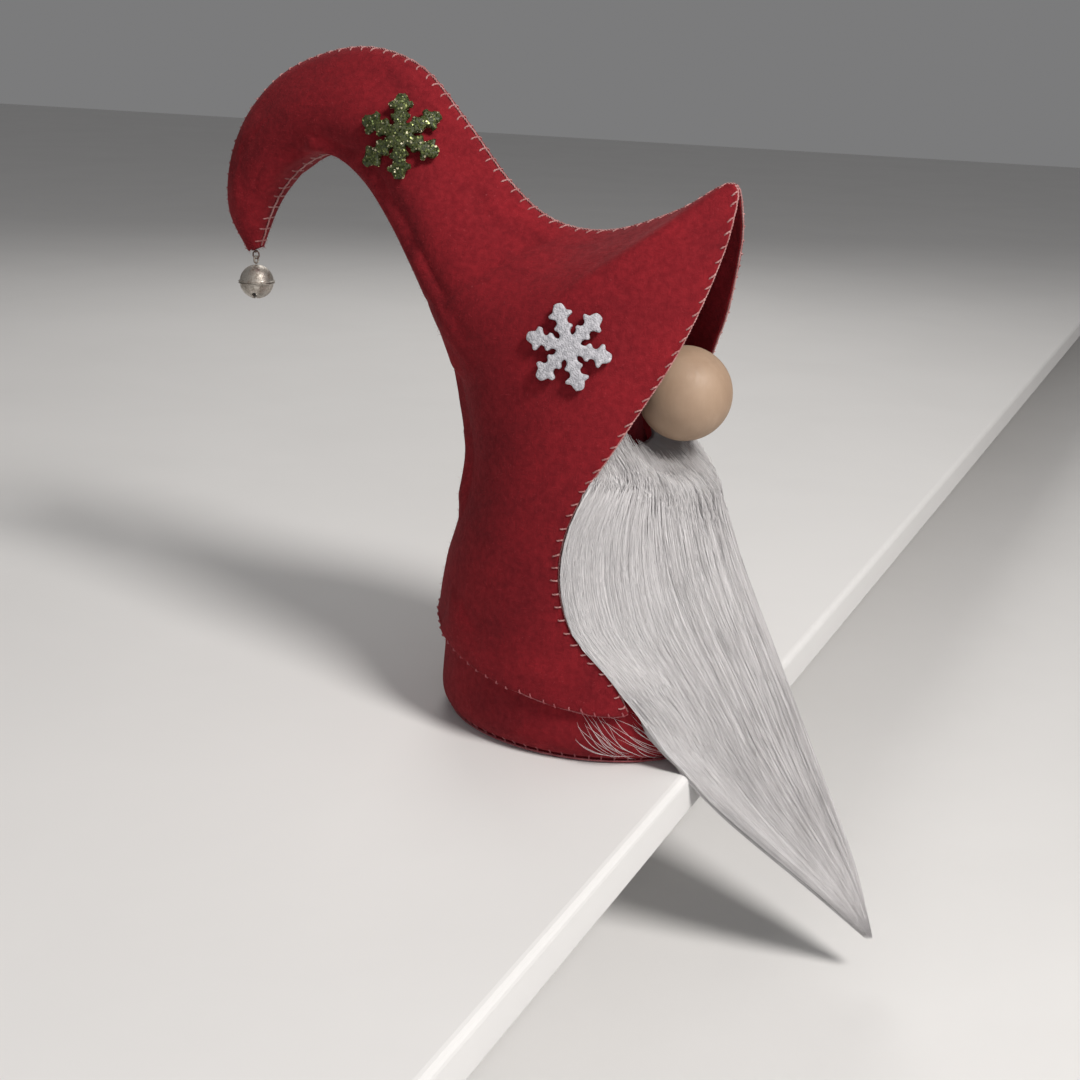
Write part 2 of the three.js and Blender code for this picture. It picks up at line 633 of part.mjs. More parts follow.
// Half shell of the bell, from its rim at the equator to its pole (1 is up, -1 is down).
const halfShell = (pole) => {
  const steps = 5;
  const start = Math.asin(GAP / 2 / (bellRadius - BELL_WALL));
  const arc = (radius) => range(steps + 1, (i) => {
    const angle = lerp(start, Math.PI / 2, i / steps);
    const across = i === steps ? 0 : radius * Math.cos(angle);
    return new THREE.Vector2(across, pole * radius * Math.sin(angle));
  });
  const profile = [...arc(bellRadius - BELL_WALL).reverse(), ...arc(bellRadius)];
  if (pole < 0) profile.reverse();
  return new THREE.LatheGeometry(profile, 16).rotateX(Math.PI / 2);
};

const addBell = () => {
  const bell = new THREE.Group();
  bell.position.set(tipX, 0, bellMiddle);
  figurine.add(bell);
  add('bell_upper', halfShell(1), finish.silver(), bell);
  const slotDepth = 1.5 * bellRadius;
  const slotLength = 1.3 * bellRadius;
  const slot = () => new THREE.BoxGeometry(slotLength, BELL_SLOT, slotDepth);
  const lower = subtract(
    halfShell(-1),
    slot().translate(0, 0, -slotDepth / 2 - bellRadius / 2),
    slot().rotateZ(Math.PI / 2).translate(0, 0, -slotDepth / 2 - bellRadius / 2),
  );
  add('bell_lower', lower, finish.silver(), bell);
  const pelletDrop = bellRadius - BELL_WALL - GAP - PELLET_DIAMETER / 2;
  const pellet = add('bell_pellet', new THREE.IcosahedronGeometry(PELLET_DIAMETER / 2, 1), finish.silver(), bell);
  pellet.position.z = -pelletDrop;

  add('bell_eye', loop(
    (angle) => new THREE.Vector3(tipX, EYE_RADIUS * Math.cos(angle), eyeMiddle + EYE_RADIUS * Math.sin(angle)),
    (angle) => new THREE.Vector3(0, Math.cos(angle), Math.sin(angle)),
    new THREE.Vector3(1, 0, 0),
    EYE_WIRE,
    12,
    6,
  ), finish.silver());

  const half = LOOP_LENGTH / 2;
  add('bell_thread', loop(
    (angle) => new THREE.Vector3(
      tipX + LOOP_HALF_WIDTH * Math.cos(angle),
      0,
      (loopTop + loopBottom + LOOP_HALF_WIDTH) / 2 + half * Math.sign(Math.round(Math.sin(angle) * 1e6))
        + LOOP_HALF_WIDTH * Math.sin(angle),
    ),
    (angle) => new THREE.Vector3(Math.cos(angle), 0, Math.sin(angle)),
    new THREE.Vector3(0, 1, 0),
    LOOP_THREAD,
    14,
    6,
  ), finish.darkThread());
};

// ---------------------------------------------------------------- seam threads

// Point just outside an edge of the right panel, square to the edge. On a seam it is in the middle plane.
const besideEdge = (u, v, onSeam) => {
  const step = 0.003;
  const edge = panelPoint(u, v);
  const along = panelPoint(Math.min(u + step, 1), v).sub(panelPoint(Math.max(u - step, 0), v));
  const outward = edge.clone().sub(panelPoint(u, v === 0 ? 0.12 : 0.88));
  if (onSeam) {
    outward.y = 0;
    along.y = 0;
    edge.y = 0;
  }
  along.normalize();
  outward.addScaledVector(along, -outward.dot(along)).normalize();
  return edge.addScaledVector(outward, THREAD_CLEARANCE + THREAD / 2);
};

const addSeamThreads = () => {
  const peak = PEAK / LAST;
  const run = (from, to, count, make) => range(count + 1, (i) => make(lerp(from, to, i / count)));
  const seam = (v) => (u) => besideEdge(u, v, true);
  const seamStart = 0.3 / LAST;
  add('front_seam_thread', thread(run(seamStart, peak, 44, seam(0)), THREAD, 56), finish.thread());
  add('back_seam_thread', thread(run(seamStart, 1, 44, seam(1)), THREAD, 48), finish.thread());

  const edgeStart = peak + 0.25 / LAST;
  const edge = run(edgeStart, 1, 30, (u) => besideEdge(u, 0, false).addScaledVector(panelNormal(u, 0), -FELT / 2));
  const hem = run(0.03, 0.97, 24, (v) => panelPoint(1, v)
    .addScaledVector(panelNormal(1, v), -FELT / 2)
    .add(new THREE.Vector3(0, 0, -GAP - THREAD)));
  add('edge_stitch_right', thread(edge, THREAD, 40), finish.thread());
  add('edge_stitch_left', thread(edge.map(mirrored), THREAD, 40), finish.thread());
  add('hem_stitch_right', thread(hem, THREAD, 26), finish.thread());
  add('hem_stitch_left', thread(hem.map(mirrored), THREAD, 26), finish.thread());
};

// ---------------------------------------------------------------- assembly

addPanels();
addHatStuffing();
addBodyBag();
addBodyFilling();
addBase();
addNose();
addBeard();
addSnowflake('white', WHITE_FLAKE, finish.whiteFoam());
addSnowflake('green', GREEN_FLAKE, finish.greenGlitter());
addBell();
addSeamThreads();

export default figurine;
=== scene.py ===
"""A sewn felt tomte: a horned hood and cape over a weighted body, a ball nose and a long fur beard.

Metres, in the frame's own axes: +Z up, +X the way the nose points. Sizes in the tables below are millimetres.
"""
import math

import bmesh
import bpy
import numpy as np
from mathutils import Matrix, Vector, noise
from mathutils.bvhtree import BVHTree


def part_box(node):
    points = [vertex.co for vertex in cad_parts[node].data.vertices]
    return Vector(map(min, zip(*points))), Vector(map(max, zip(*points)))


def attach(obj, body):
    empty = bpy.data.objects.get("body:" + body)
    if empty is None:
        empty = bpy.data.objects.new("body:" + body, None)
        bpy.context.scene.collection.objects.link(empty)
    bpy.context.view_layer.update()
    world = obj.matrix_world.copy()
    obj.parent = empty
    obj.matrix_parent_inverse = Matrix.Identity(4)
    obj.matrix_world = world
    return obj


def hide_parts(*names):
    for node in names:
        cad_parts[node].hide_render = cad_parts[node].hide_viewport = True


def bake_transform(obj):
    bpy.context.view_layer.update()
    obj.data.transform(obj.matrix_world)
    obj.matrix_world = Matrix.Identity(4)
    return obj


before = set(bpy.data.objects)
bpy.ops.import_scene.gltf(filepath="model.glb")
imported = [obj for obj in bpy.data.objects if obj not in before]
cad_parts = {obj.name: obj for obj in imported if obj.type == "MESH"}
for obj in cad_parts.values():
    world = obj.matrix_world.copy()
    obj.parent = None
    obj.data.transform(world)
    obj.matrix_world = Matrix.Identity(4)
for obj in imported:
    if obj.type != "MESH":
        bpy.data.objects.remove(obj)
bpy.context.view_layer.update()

MM = 0.001

# ---------------------------------------------------------------- sizes (mm) and pattern

GAP = 0.3                # clearance between pieces that touch
FELT = 1.6               # thickness of the wool felt
HALF_FELT = FELT / 2
THREAD_RADIUS = 0.42     # sewing thread, two plies together
LEG_RADIUS = 0.34        # the same thread pulled tight over the felt
STITCH_PITCH = 5.0       # blanket stitches along every seam and edge
STITCH_LEG = 3.0
HEM_LEG = 2.0
THREAD_LAY = 2.4         # one turn of the thread's plies

FLAKE_DIAMETER = 31
FLAKE_THICKNESS = 2.6
FLAKE_LIFT = 0.9         # glue and gap under a snowflake

BELL_RADIUS = 7.0
BELL_WALL = 0.5
BELL_SLOT = 1.2
BELL_RIM = 0.55          # how far the crimped rim stands out

# Hat and cape from the horn's tip to the hem: front x, z, back x, z, width, half opening, front shape, sag.
PATTERN = np.array([
    [-159, 173, -154, 175, 1.6, 0, 0.60, 0],
    [-168, 190, -148, 190, 7.5, 0, 0.75, 0],
    [-166, 211, -140, 202, 11.5, 0, 0.80, 0],
    [-155, 231, -129, 211, 14.5, 0, 0.80, 0],
    [-135, 247, -117, 215, 16.5, 0, 0.80, 0],
    [-105, 255, -105, 212, 18, 0, 0.80, 0],
    [-79, 249, -93, 203, 20, 0, 0.82, 0],
    [-59, 230, -82, 190, 22.5, 0, 0.85, 0],
    [-40, 209, -73, 177, 25.5, 0, 0.88, 0],
    [-21, 196, -65, 164, 29, 0, 0.92, 0],
    [2, 194, -58, 151, 33, 0, 0.98, 0],
    [28, 203, -53, 139, 36, 0, 1.05, 0],
    [48, 214, -50, 127, 38, 0, 1.10, 0],
    [51, 200, -48, 116, 39, 7, 1.05, 0],
    [47, 178, -47, 105, 39.5, 15, 0.95, 0],
    [39, 154, -48.5, 95, 40.5, 24, 0.80, 0],
    [26, 127, -51, 85, 42.5, 36, 0.65, 0],
    [12, 99, -54, 75, 45.5, 45, 0.55, 0],
    [8, 76, -57, 66, 47.5, 48, 0.50, 0],
    [14, 54, -59, 58, 48.8, 48.5, 0.50, 2],
    [29, 38, -60.5, 51, 49.1, 45, 0.50, 4],
    [36, 24, -61.5, 44, 49.1, 42, 0.50, 6],
])
LAST = len(PATTERN) - 1
PEAK = 12                # section where the front seam ends and the opening begins
BACK_ROUND = 0.5
RIDGE = FELT + GAP / 2   # half the thickness of a sewn seam

# The body bag's rings: height, back, front and half width.
BODY_RINGS = np.array([
    [1.9, -55.5, 55.5, 43.5],
    [4, -58, 58, 46],
    [10, -59.8, 60, 48],
    [25, -59.3, 60, 47.6],
    [45, -57.6, 54, 46.6],
    [65, -53.5, 46, 45.2],
    [85, -48, 35, 43.5],
    [103, -44, 24, 39],
    [120, -44, 16, 35],
    [137, -46, 15.5, 32],
    [155, -45, 9, 27],
    [168, -39, 1, 20],
    [176, -31, -8, 11],
])
BODY_TOP = 179

# The beard from its top to its tip: height, front and half width.
BEARD_RINGS = np.array([
    [125, 34, 30],
    [115, 43, 33],
    [107, 48, 36],
    [96, 51.5, 39.5],
    [78, 58, 44.5],
    [58, 67, 45],
    [40, 76, 42.5],
    [24, 84, 39.5],
    [8, 91.5, 36],
    [-10, 100.5, 29.5],
    [-26, 109, 22],
    [-42, 117, 14],
    [-56, 122.5, 6.5],
    [-68, 126.5, 1.2],
])
# Below the body, where nothing backs the hair: height, back of the middle and back of the sides.
HANGING_RINGS = np.array([
    [8, 66, 49],
    [-10, 79, 63],
    [-26, 94, 80],
    [-42, 108, 98],
    [-56, 117.5, 112],
    [-68, 126, 124.5],
])
BEARD_ARC = math.radians(76)
BEARD_EDGE = 3
BACKING_FRONT = 2.1      # the knitted backing lies this far off the body bag
PILE_BACK = 2.4

# Outline of a snowflake's arm: distance from the middle and half width, as shares of the radius.
FLAKE_ARM = [
    (0.24, 0.135), (0.32, 0.115), (0.38, 0.135), (0.43, 0.205), (0.49, 0.205), (0.53, 0.120), (0.61, 0.110),
    (0.66, 0.150), (0.71, 0.265), (0.78, 0.270), (0.82, 0.150), (0.90, 0.130), (0.985, 0.090),
]

# ---------------------------------------------------------------- camera

CAMERA_AZIMUTH, CAMERA_ELEVATION, CAMERA_ROLL = (math.radians(angle) for angle in (25, 18, 2))
CAMERA_DISTANCE = 0.6
CAMERA_TARGET = Vector((-0.022, 0, 0.070))
CAMERA_LENS = 50


def make_camera():
    """A 50 mm camera a little above and in front of the figure's right side, tilted by two degrees."""
    level = math.cos(CAMERA_ELEVATION)
    back = Vector((
        math.sin(CAMERA_AZIMUTH) * level,
        -math.cos(CAMERA_AZIMUTH) * level,
        math.sin(CAMERA_ELEVATION),
    ))
    side = back.cross(Vector((0, 0, -1))).normalized()
    top = back.cross(side)
    right = side * math.cos(CAMERA_ROLL) + top * math.sin(CAMERA_ROLL)
    up = top * math.cos(CAMERA_ROLL) - side * math.sin(CAMERA_ROLL)
    data = bpy.data.cameras.new("camera")
    data.lens = CAMERA_LENS
    camera = bpy.data.objects.new("camera", data)
    bpy.context.collection.objects.link(camera)
    turn = Matrix((right, up, back)).transposed().to_4x4()
    camera.matrix_world = Matrix.Translation(CAMERA_TARGET + back * CAMERA_DISTANCE) @ turn
    bpy.context.scene.camera = camera


make_camera()

# ---------------------------------------------------------------- curves and grids


def catmull_rom(rows, share):
    """Values at shares 0 to 1 of the smooth curve through the rows."""
    rows = np.asarray(rows, float)
    rows = np.vstack([2 * rows[0] - rows[1], rows, 2 * rows[-1] - rows[-2]])
    place = np.clip(share, 0, 1) * (len(rows) - 3)
    index = np.minimum(place.astype(int), len(rows) - 4)
    t = (place - index)[:, None]
    a, b, c, d = (rows[index + step] for step in range(4))
    return 0.5 * (2 * b + (c - a) * t + (2 * a - 5 * b + 4 * c - d) * t ** 2 + (3 * b - a - 3 * c + d) * t ** 3)


def unit(vectors):
    return vectors / np.maximum(np.linalg.norm(vectors, axis=-1, keepdims=True), 1e-12)


def smoothstep(low, high, value):
    t = np.clip((value - low) / (high - low), 0, 1)
    return t * t * (3 - 2 * t)


def lengths_along(points, axis):
    """Running length of each line of points along an axis, starting at 0."""
    steps = np.linalg.norm(np.diff(points, axis=axis), axis=-1)
    start = np.zeros_like(np.take(steps, [0], axis=axis))
    return np.concatenate([start, np.cumsum(steps, axis=axis)], axis=axis)


def resampled(points, step):
    """An open line of points again, evenly spaced at about that step."""
    length = lengths_along(points, 0)
    count = max(int(length[-1] / step), 3)
    at = np.linspace(0, length[-1], count + 1)
    return np.stack([np.interp(at, length, points[:, axis]) for axis in range(3)], axis=1)


def grid_normals(points):
    """Unit normals of a grid of points, along rows crossed with columns."""
    return unit(np.cross(np.gradient(points, axis=0), np.gradient(points, axis=1)))


def stretched_grid(values, shape):
    """A grid of vectors spread evenly over another number of rows and columns."""
    rows = np.linspace(0, 1, values.shape[0])
    columns = np.linspace(0, 1, values.shape[1])
    new_rows = np.linspace(0, 1, shape[0])
    new_columns = np.linspace(0, 1, shape[1])
    tall = np.stack([
        [np.interp(new_rows, rows, values[:, column, axis]) for column in range(values.shape[1])]
        for axis in range(values.shape[2])
    ])
    wide = [[np.interp(new_columns, columns, line) for line in layer.T] for layer in tall]
    return np.moveaxis(np.array(wide), 0, -1)


def lumps(points, size, seed, octaves=3):
    """Smooth noise from -1 to 1 at every point (mm), with features of about that size."""
    flat = points.reshape(-1, 3) / size + seed * 17.3
    values = [noise.fractal(Vector(point), 0.7, 2.0, octaves) for point in flat]
    return np.array(values).reshape(points.shape[:-1])


# ---------------------------------------------------------------- meshes


class Skin:
    """Collects the points (mm) and faces of one mesh."""

    def __init__(self):
        self.points = []
        self.faces = []
        self.tints = []
        self.count = 0

    def add(self, points, *faces, tint=0.5):
        points = np.asarray(points, float).reshape(-1, 3)
        self.points.append(points)
        self.tints.append(np.broadcast_to(tint, len(points)))
        self.faces += [np.asarray(group, int) + self.count for group in faces if len(group)]
        self.count += len(points)

    def make(self, name, material, merge=False):
        """The object, smooth shaded, in metres."""
        mesh = bpy.data.meshes.new(name)
        points = np.concatenate(self.points) * MM
        corners = np.concatenate([group.ravel() for group in self.faces])
        sizes = np.concatenate([np.full(len(group), group.shape[1]) for group in self.faces])
        mesh.vertices.add(len(points))
        mesh.vertices.foreach_set("co", points.ravel())
        mesh.loops.add(len(corners))
        mesh.loops.foreach_set("vertex_index", corners)
        mesh.polygons.add(len(sizes))
        mesh.polygons.foreach_set("loop_start", np.concatenate([[0], np.cumsum(sizes)[:-1]]))
        mesh.polygons.foreach_set("use_smooth", np.ones(len(sizes), bool))
        mesh.update(calc_edges=True)
        mesh.validate()
        tint = mesh.attributes.new("tint", "FLOAT", "POINT")
        tint.data.foreach_set("value", np.concatenate(self.tints).astype(np.float32))
        if merge:
            welded = bmesh.new()
            welded.from_mesh(mesh)
            bmesh.ops.remove_doubles(welded, verts=welded.verts, dist=0.01 * MM)
            bmesh.ops.recalc_face_normals(welded, faces=welded.faces)
            welded.to_mesh(mesh)
            welded.free()
        mesh.materials.append(material)
        piece = bpy.data.objects.new(name, mesh)
        bpy.context.collection.objects.link(piece)
        return piece


def grid_faces(rows, columns, start=0, closed=False):
    """Quads of a grid of points, closed round its columns if asked."""
    wide = columns if closed else columns - 1
    row, column = np.mgrid[0:rows - 1, 0:wide]
    beside = (column + 1) % columns
    return np.stack([
        start + row * columns + column,
        start + row * columns + beside,
        start + (row + 1) * columns + beside,
        start + (row + 1) * columns + column,
    ], axis=-1).reshape(-1, 4)


def felt_between(outer, inner):
    """A closed sheet between two grids whose edges meet."""
    rows, columns = outer.shape[:2]
    skin = Skin()
    skin.add(outer, grid_faces(rows, columns))
    skin.add(inner, grid_faces(rows, columns)[:, ::-1])
    return skin


def revolved(rings):
    """A closed skin over rings of points, with both ends shut by fans."""
    rows, columns = rings.shape[:2]
    skin = Skin()
    ends = np.array([rings[0].mean(axis=0), rings[-1].mean(axis=0)])
    first = np.arange(columns)
    last = first + (rows - 1) * columns
    middle = rows * columns
    fans = np.concatenate([
        np.stack([np.full(columns, middle), np.roll(first, -1), first], axis=1),
        np.stack([np.full(columns, middle + 1), last, np.roll(last, -1)], axis=1),
    ])
    skin.add(np.concatenate([rings.reshape(-1, 3), ends]), grid_faces(rows, columns, closed=True), fans)
    return skin


def line_frames(lines):
    """Tangents and two directions across, carried along each line without twist."""
    tangents = unit(np.gradient(lines, axis=1))
    across = np.empty_like(lines)
    across[:, 0] = unit(np.cross(tangents[:, 0], [0.31, 0.52, 0.79]))
    for step in range(1, lines.shape[1]):
        carried = across[:, step - 1]
        tangent = tangents[:, step]
        across[:, step] = unit(carried - tangent * (carried * tangent).sum(axis=1, keepdims=True))
    return tangents, across, np.cross(tangents, across)


def add_tubes(skin, lines, radii, sides, tint=0.5):
    """Closed tubes along lines of equal point counts: lines is (count, steps, 3) and radii (count, steps)."""
    lines = np.asarray(lines, float)
    count, steps = lines.shape[:2]
    radii = np.broadcast_to(radii, (count, steps))
    _, across, over = line_frames(lines)
    angle = np.arange(sides) * 2 * math.pi / sides
    ring = (
        across[:, :, None] * np.cos(angle)[None, None, :, None]
        + over[:, :, None] * np.sin(angle)[None, None, :, None]
    )
    points = lines[:, :, None] + ring * radii[:, :, None, None]
    one = grid_faces(steps, sides, closed=True)
    starts = (np.arange(count) * steps * sides)[:, None, None]
    fan = np.stack([np.zeros(sides - 2, int), np.arange(2, sides), np.arange(1, sides - 1)], axis=1)
    far_fan = fan[:, ::-1] + (steps - 1) * sides
    caps = np.concatenate([fan, far_fan])
    tints = np.repeat(np.broadcast_to(tint, count), steps * sides)
    skin.add(
        points,
        (starts + one[None]).reshape(-1, 4),
        (starts + caps[None]).reshape(-1, 3),
        tint=tints,
    )


def add_thread(skin, points, radius):
    """Two plies twisted round a line of points (mm)."""
    line = resampled(np.asarray(points, float), THREAD_LAY / 6)[None]
    _, across, over = line_frames(line)
    turn = lengths_along(line[0], 0) * 2 * math.pi / THREAD_LAY
    for ply in range(2):
        phase = (turn + ply * math.pi)[None, :, None]
        offset = (across * np.cos(phase) + over * np.sin(phase)) * radius * 0.46
        thickness = np.full(line.shape[1], radius * 0.62)
        thickness[[0, -1]] *= 0.4
        add_tubes(skin, line + offset, thickness[None], 5)


# ---------------------------------------------------------------- materials


class Graph:
    """Adds nodes to one tree and joins them."""

    def __init__(self, tree):
        self.tree = tree

    def add(self, kind, inputs=None, **settings):
        node = self.tree.nodes.new(kind)
        for name, value in settings.items():
            setattr(node, name, value)
        for name, value in (inputs or {}).items():
            self.feed(node.inputs[name], value)
        return node

    def feed(self, socket, value):
        if isinstance(value, bpy.types.NodeSocket):
            self.tree.links.new(value, socket)
        else:
            socket.default_value = value

    def math(self, operation, first, second=0.0, clamp=False):
        node = self.add("ShaderNodeMath", {0: first, 1: second}, operation=operation, use_clamp=clamp)
        return node.outputs[0]

    def ramp(self, value, low, high):
        """The value spread from 0 at low to 1 at high."""
        sockets = {"Value": value, "From Min": low, "From Max": high}
        return self.add("ShaderNodeMapRange", sockets, clamp=True).outputs[0]

    def blend(self, factor, first, second, mode="MIX"):
        node = self.add("ShaderNodeMix", data_type="RGBA", blend_type=mode)
        self.feed(node.inputs[0], factor)
        self.feed(node.inputs[6], first)
        self.feed(node.inputs[7], second)
        return node.outputs[2]

    def noise(self, vector, scale, detail=2.0, roughness=0.5, distortion=0.0):
        sockets = {
            "Vector": vector, "Scale": scale, "Detail": detail,
            "Roughness": roughness, "Distortion": distortion,
        }
        return self.add("ShaderNodeTexNoise", sockets).outputs[0]

    def stretched(self, vector, scale, turn=(0, 0, 0)):
        sockets = {"Vector": vector, "Scale": scale, "Rotation": turn}
        return self.add("ShaderNodeMapping", sockets).outputs[0]


def effect(name, inputs, outputs, build):
    """A shared node group: build gets its graph and inputs and returns its outputs."""
    tree = bpy.data.node_groups.new(name, "ShaderNodeTree")
    for socket_name, kind, value in inputs:
        socket = tree.interface.new_socket(name=socket_name, in_out="INPUT", socket_type=kind)
        if value is not None:
            socket.default_value = value
    for socket_name, kind in outputs:
        tree.interface.new_socket(name=socket_name, in_out="OUTPUT", socket_type=kind)
    graph = Graph(tree)
    given = graph.add("NodeGroupInput").outputs
    results = build(graph, {socket_name: given[socket_name] for socket_name, _, _ in inputs})
    final = graph.add("NodeGroupOutput")
    for (socket_name, _), result in zip(outputs, results):
        graph.feed(final.inputs[socket_name], result)
    return tree


VECTOR, FLOAT = "NodeSocketVector", "NodeSocketFloat"


def matted_fibres(graph, given):
    """Matted wool: fine fibres lying in three directions, and stray pale ones."""
    directions = [
        ((1.0, 0.16, 1.0), (0.4, 0.2, 0.7)),
        ((0.16, 1.0, 1.0), (0.9, 0.5, 0.2)),
        ((1.0, 1.0, 0.16), (0.3, 1.1, 0.9)),
    ]
    layers = [
        graph.noise(graph.stretched(given["Vector"], scale, turn), given["Scale"], 3.0, 0.6, 0.8)
        for scale, turn in directions
    ]
    height = graph.math("MAXIMUM", graph.math("MAXIMUM", layers[0], layers[1]), layers[2])
    stray = graph.math("MULTIPLY", graph.ramp(layers[0], 0.66, 0.74), graph.ramp(layers[2], 0.45, 0.6))
    return graph.ramp(height, 0.38, 0.8), stray


def patches(graph, given):
    """Soft uneven patches with ragged edges."""
    broad = graph.noise(given["Vector"], given["Scale"], 4.0, 0.6, 0.4)
    return (graph.ramp(broad, given["Low"], given["High"]),)


def streaks(graph, given):
    """Long thin streaks along Z, and broad ones behind them."""
    thin = graph.noise(graph.stretched(given["Vector"], (1.0, 1.0, 0.05)), given["Scale"], 3.0, 0.65, 0.3)
    slower = graph.math("MULTIPLY", given["Scale"], 0.16)
    broad = graph.noise(graph.stretched(given["Vector"], (1.0, 1.0, 0.09)), slower, 2.0, 0.5, 0.6)
    return graph.ramp(thin, 0.3, 0.7), graph.ramp(broad, 0.35, 0.65)


def knitted_rows(graph, given):
    """Small even loops in rows."""
    split = graph.add("ShaderNodeSeparateXYZ", {"Vector": given["Vector"]}).outputs
    across = graph.math("SINE", graph.math("MULTIPLY", split[1], given["Scale"]))
    along = graph.math("SINE", graph.math("MULTIPLY", split[2], given["Scale"]))
    loops = graph.math("MULTIPLY", across, along)
    return (graph.ramp(loops, -1.0, 1.0),)


FIBRES = effect(
    "matted_fibres",
    [("Vector", VECTOR, None), ("Scale", FLOAT, 900.0)],
    [("Height", FLOAT), ("Stray", FLOAT)],
    matted_fibres,
)
PATCHES = effect(
    "patches",
    [("Vector", VECTOR, None), ("Scale", FLOAT, 30.0), ("Low", FLOAT, 0.35), ("High", FLOAT, 0.65)],
    [("Mask", FLOAT)],
    patches,
)
STREAKS = effect(
    "streaks",
    [("Vector", VECTOR, None), ("Scale", FLOAT, 900.0)],
    [("Thin", FLOAT), ("Broad", FLOAT)],
    streaks,
)
KNIT = effect(
    "knitted_rows",
    [("Vector", VECTOR, None), ("Scale", FLOAT, 3000.0)],
    [("Loops", FLOAT)],
    knitted_rows,
)


def finish_with(name, build):
    """A material whose build joins its nodes to a Principled shader."""
    material = bpy.data.materials.new(name)
    material.use_nodes = True
    graph = Graph(material.node_tree)
    shader = material.node_tree.nodes["Principled BSDF"]
    place = graph.add("ShaderNodeTexCoord").outputs["Object"]
    build(graph, shader, place)
    return material


def apply_effect(graph, tree, place, **values):
    node = graph.add("ShaderNodeGroup", node_tree=tree)
    graph.feed(node.inputs["Vector"], place)
    for name, value in values.items():
        graph.feed(node.inputs[name], value)
    return node.outputs


def bumped(graph, shader, height, distance, strength=1.0):
    bump = graph.add("ShaderNodeBump", {"Height": height, "Distance": distance, "Strength": strength})
    graph.feed(shader.inputs["Normal"], bump.outputs[0])


def set_sheen(shader, weight, roughness, tint):
    shader.inputs["Sheen Weight"].default_value = weight
    shader.inputs["Sheen Roughness"].default_value = roughness
    shader.inputs["Sheen Tint"].default_value = (*tint, 1)


def felt(name, deep, bright, stray_colour):
    def build(graph, shader, place):
        fibres = apply_effect(graph, FIBRES, place, Scale=1100.0)
        mottle = apply_effect(graph, PATCHES, place, Scale=38.0, Low=0.25, High=0.75)["Mask"]
        fine = apply_effect(graph, PATCHES, place, Scale=420.0, Low=0.35, High=0.65)["Mask"]
        tone = graph.math("ADD", graph.math("MULTIPLY", mottle, 0.5), graph.math("MULTIPLY", fine, 0.35))
        colour = graph.blend(tone, (*deep, 1), (*bright, 1))
        shade = graph.ramp(fibres["Height"], -0.6, 0.9)
        hollow = graph.math("MULTIPLY", graph.math("SUBTRACT", 1.0, shade), 0.55)
        colour = graph.blend(hollow, colour, (*deep, 1))
        colour = graph.blend(graph.math("MULTIPLY", fibres["Stray"], 0.35), colour, (*stray_colour, 1))
        graph.feed(shader.inputs["Base Color"], colour)
        worn = graph.math("MULTIPLY", fine, 0.12)
        graph.feed(shader.inputs["Roughness"], graph.math("SUBTRACT", 0.98, worn))
        shader.inputs["Specular IOR Level"].default_value = 0.2
        set_sheen(shader, 0.16, 0.45, stray_colour)
        bumped(graph, shader, fibres["Height"], 0.35 * MM, 0.55)
    return finish_with(name, build)


def yarn(name, deep, bright):
    def build(graph, shader, place):
        fibres = apply_effect(graph, FIBRES, place, Scale=2600.0)
        mottle = apply_effect(graph, PATCHES, place, Scale=160.0)["Mask"]
        colour = graph.blend(graph.math("MULTIPLY", mottle, fibres["Height"]), (*deep, 1), (*bright, 1))
        graph.feed(shader.inputs["Base Color"], colour)
        graph.feed(shader.inputs["Roughness"], graph.ramp(fibres["Height"], -2.0, 1.4))
        bumped(graph, shader, fibres["Height"], 0.06 * MM, 0.5)
    return finish_with(name, build)


def ball_wood():
    """Close-grained turned wood, waxed thin, with painted highlights in broad lighter streaks."""
    def build(graph, shader, place):
        grain_and_highlight = apply_effect(graph, STREAKS, place, Scale=650.0)
        blotch = apply_effect(graph, PATCHES, place, Scale=60.0, Low=0.3, High=0.75)["Mask"]
        colour = graph.blend(blotch, (0.37, 0.255, 0.175, 1), (0.265, 0.172, 0.112, 1))
        colour = graph.blend(graph.math("MULTIPLY", grain_and_highlight["Thin"], 0.30), colour, (0.33, 0.23, 0.155, 1))
        # Broad lighter streaks: painted highlights. The thin streaks above are the wood's grain.
        colour = graph.blend(graph.math("MULTIPLY", grain_and_highlight["Broad"], 0.25), colour, (0.44, 0.325, 0.235, 1))
        graph.feed(shader.inputs["Base Color"], colour)
        graph.feed(shader.inputs["Roughness"], graph.ramp(grain_and_highlight["Thin"], -2.0, 2.2))
        shader.inputs["Specular IOR Level"].default_value = 0.35
        bumped(graph, shader, grain_and_highlight["Thin"], 0.05 * MM, 0.4)
    return finish_with("ball_wood", build)


def fur(name, root, tip):
    """Soft pale hair. Each hair has its own tint."""
    def build(graph, shader, place):
        tint = graph.add("ShaderNodeAttribute", attribute_name="tint").outputs["Fac"]
        streak = apply_effect(graph, STREAKS, place, Scale=700.0)
        broad = graph.math("MULTIPLY", streak["Broad"], 0.25)
        tone = graph.math("ADD", graph.math("MULTIPLY", tint, 0.75), broad)
        graph.feed(shader.inputs["Base Color"], graph.blend(tone, (*root, 1), (*tip, 1)))
        graph.feed(shader.inputs["Roughness"], graph.ramp(streak["Thin"], -3.0, 2.6))
        shader.inputs["Specular IOR Level"].default_value = 0.4
        set_sheen(shader, 0.12, 0.4, (0.95, 0.95, 1.0))
        bumped(graph, shader, streak["Thin"], 0.05 * MM, 0.25)
    return finish_with(name, build)


def knit():
    def build(graph, shader, place):
        loops = apply_effect(graph, KNIT, place, Scale=3200.0)["Loops"]
        colour = graph.blend(loops, (0.42, 0.40, 0.37, 1), (0.70, 0.68, 0.64, 1))
        graph.feed(shader.inputs["Base Color"], colour)
        graph.feed(shader.inputs["Roughness"], graph.ramp(loops, -6.0, 1.5))
        bumped(graph, shader, loops, 0.3 * MM, 0.7)
    return finish_with("knit", build)


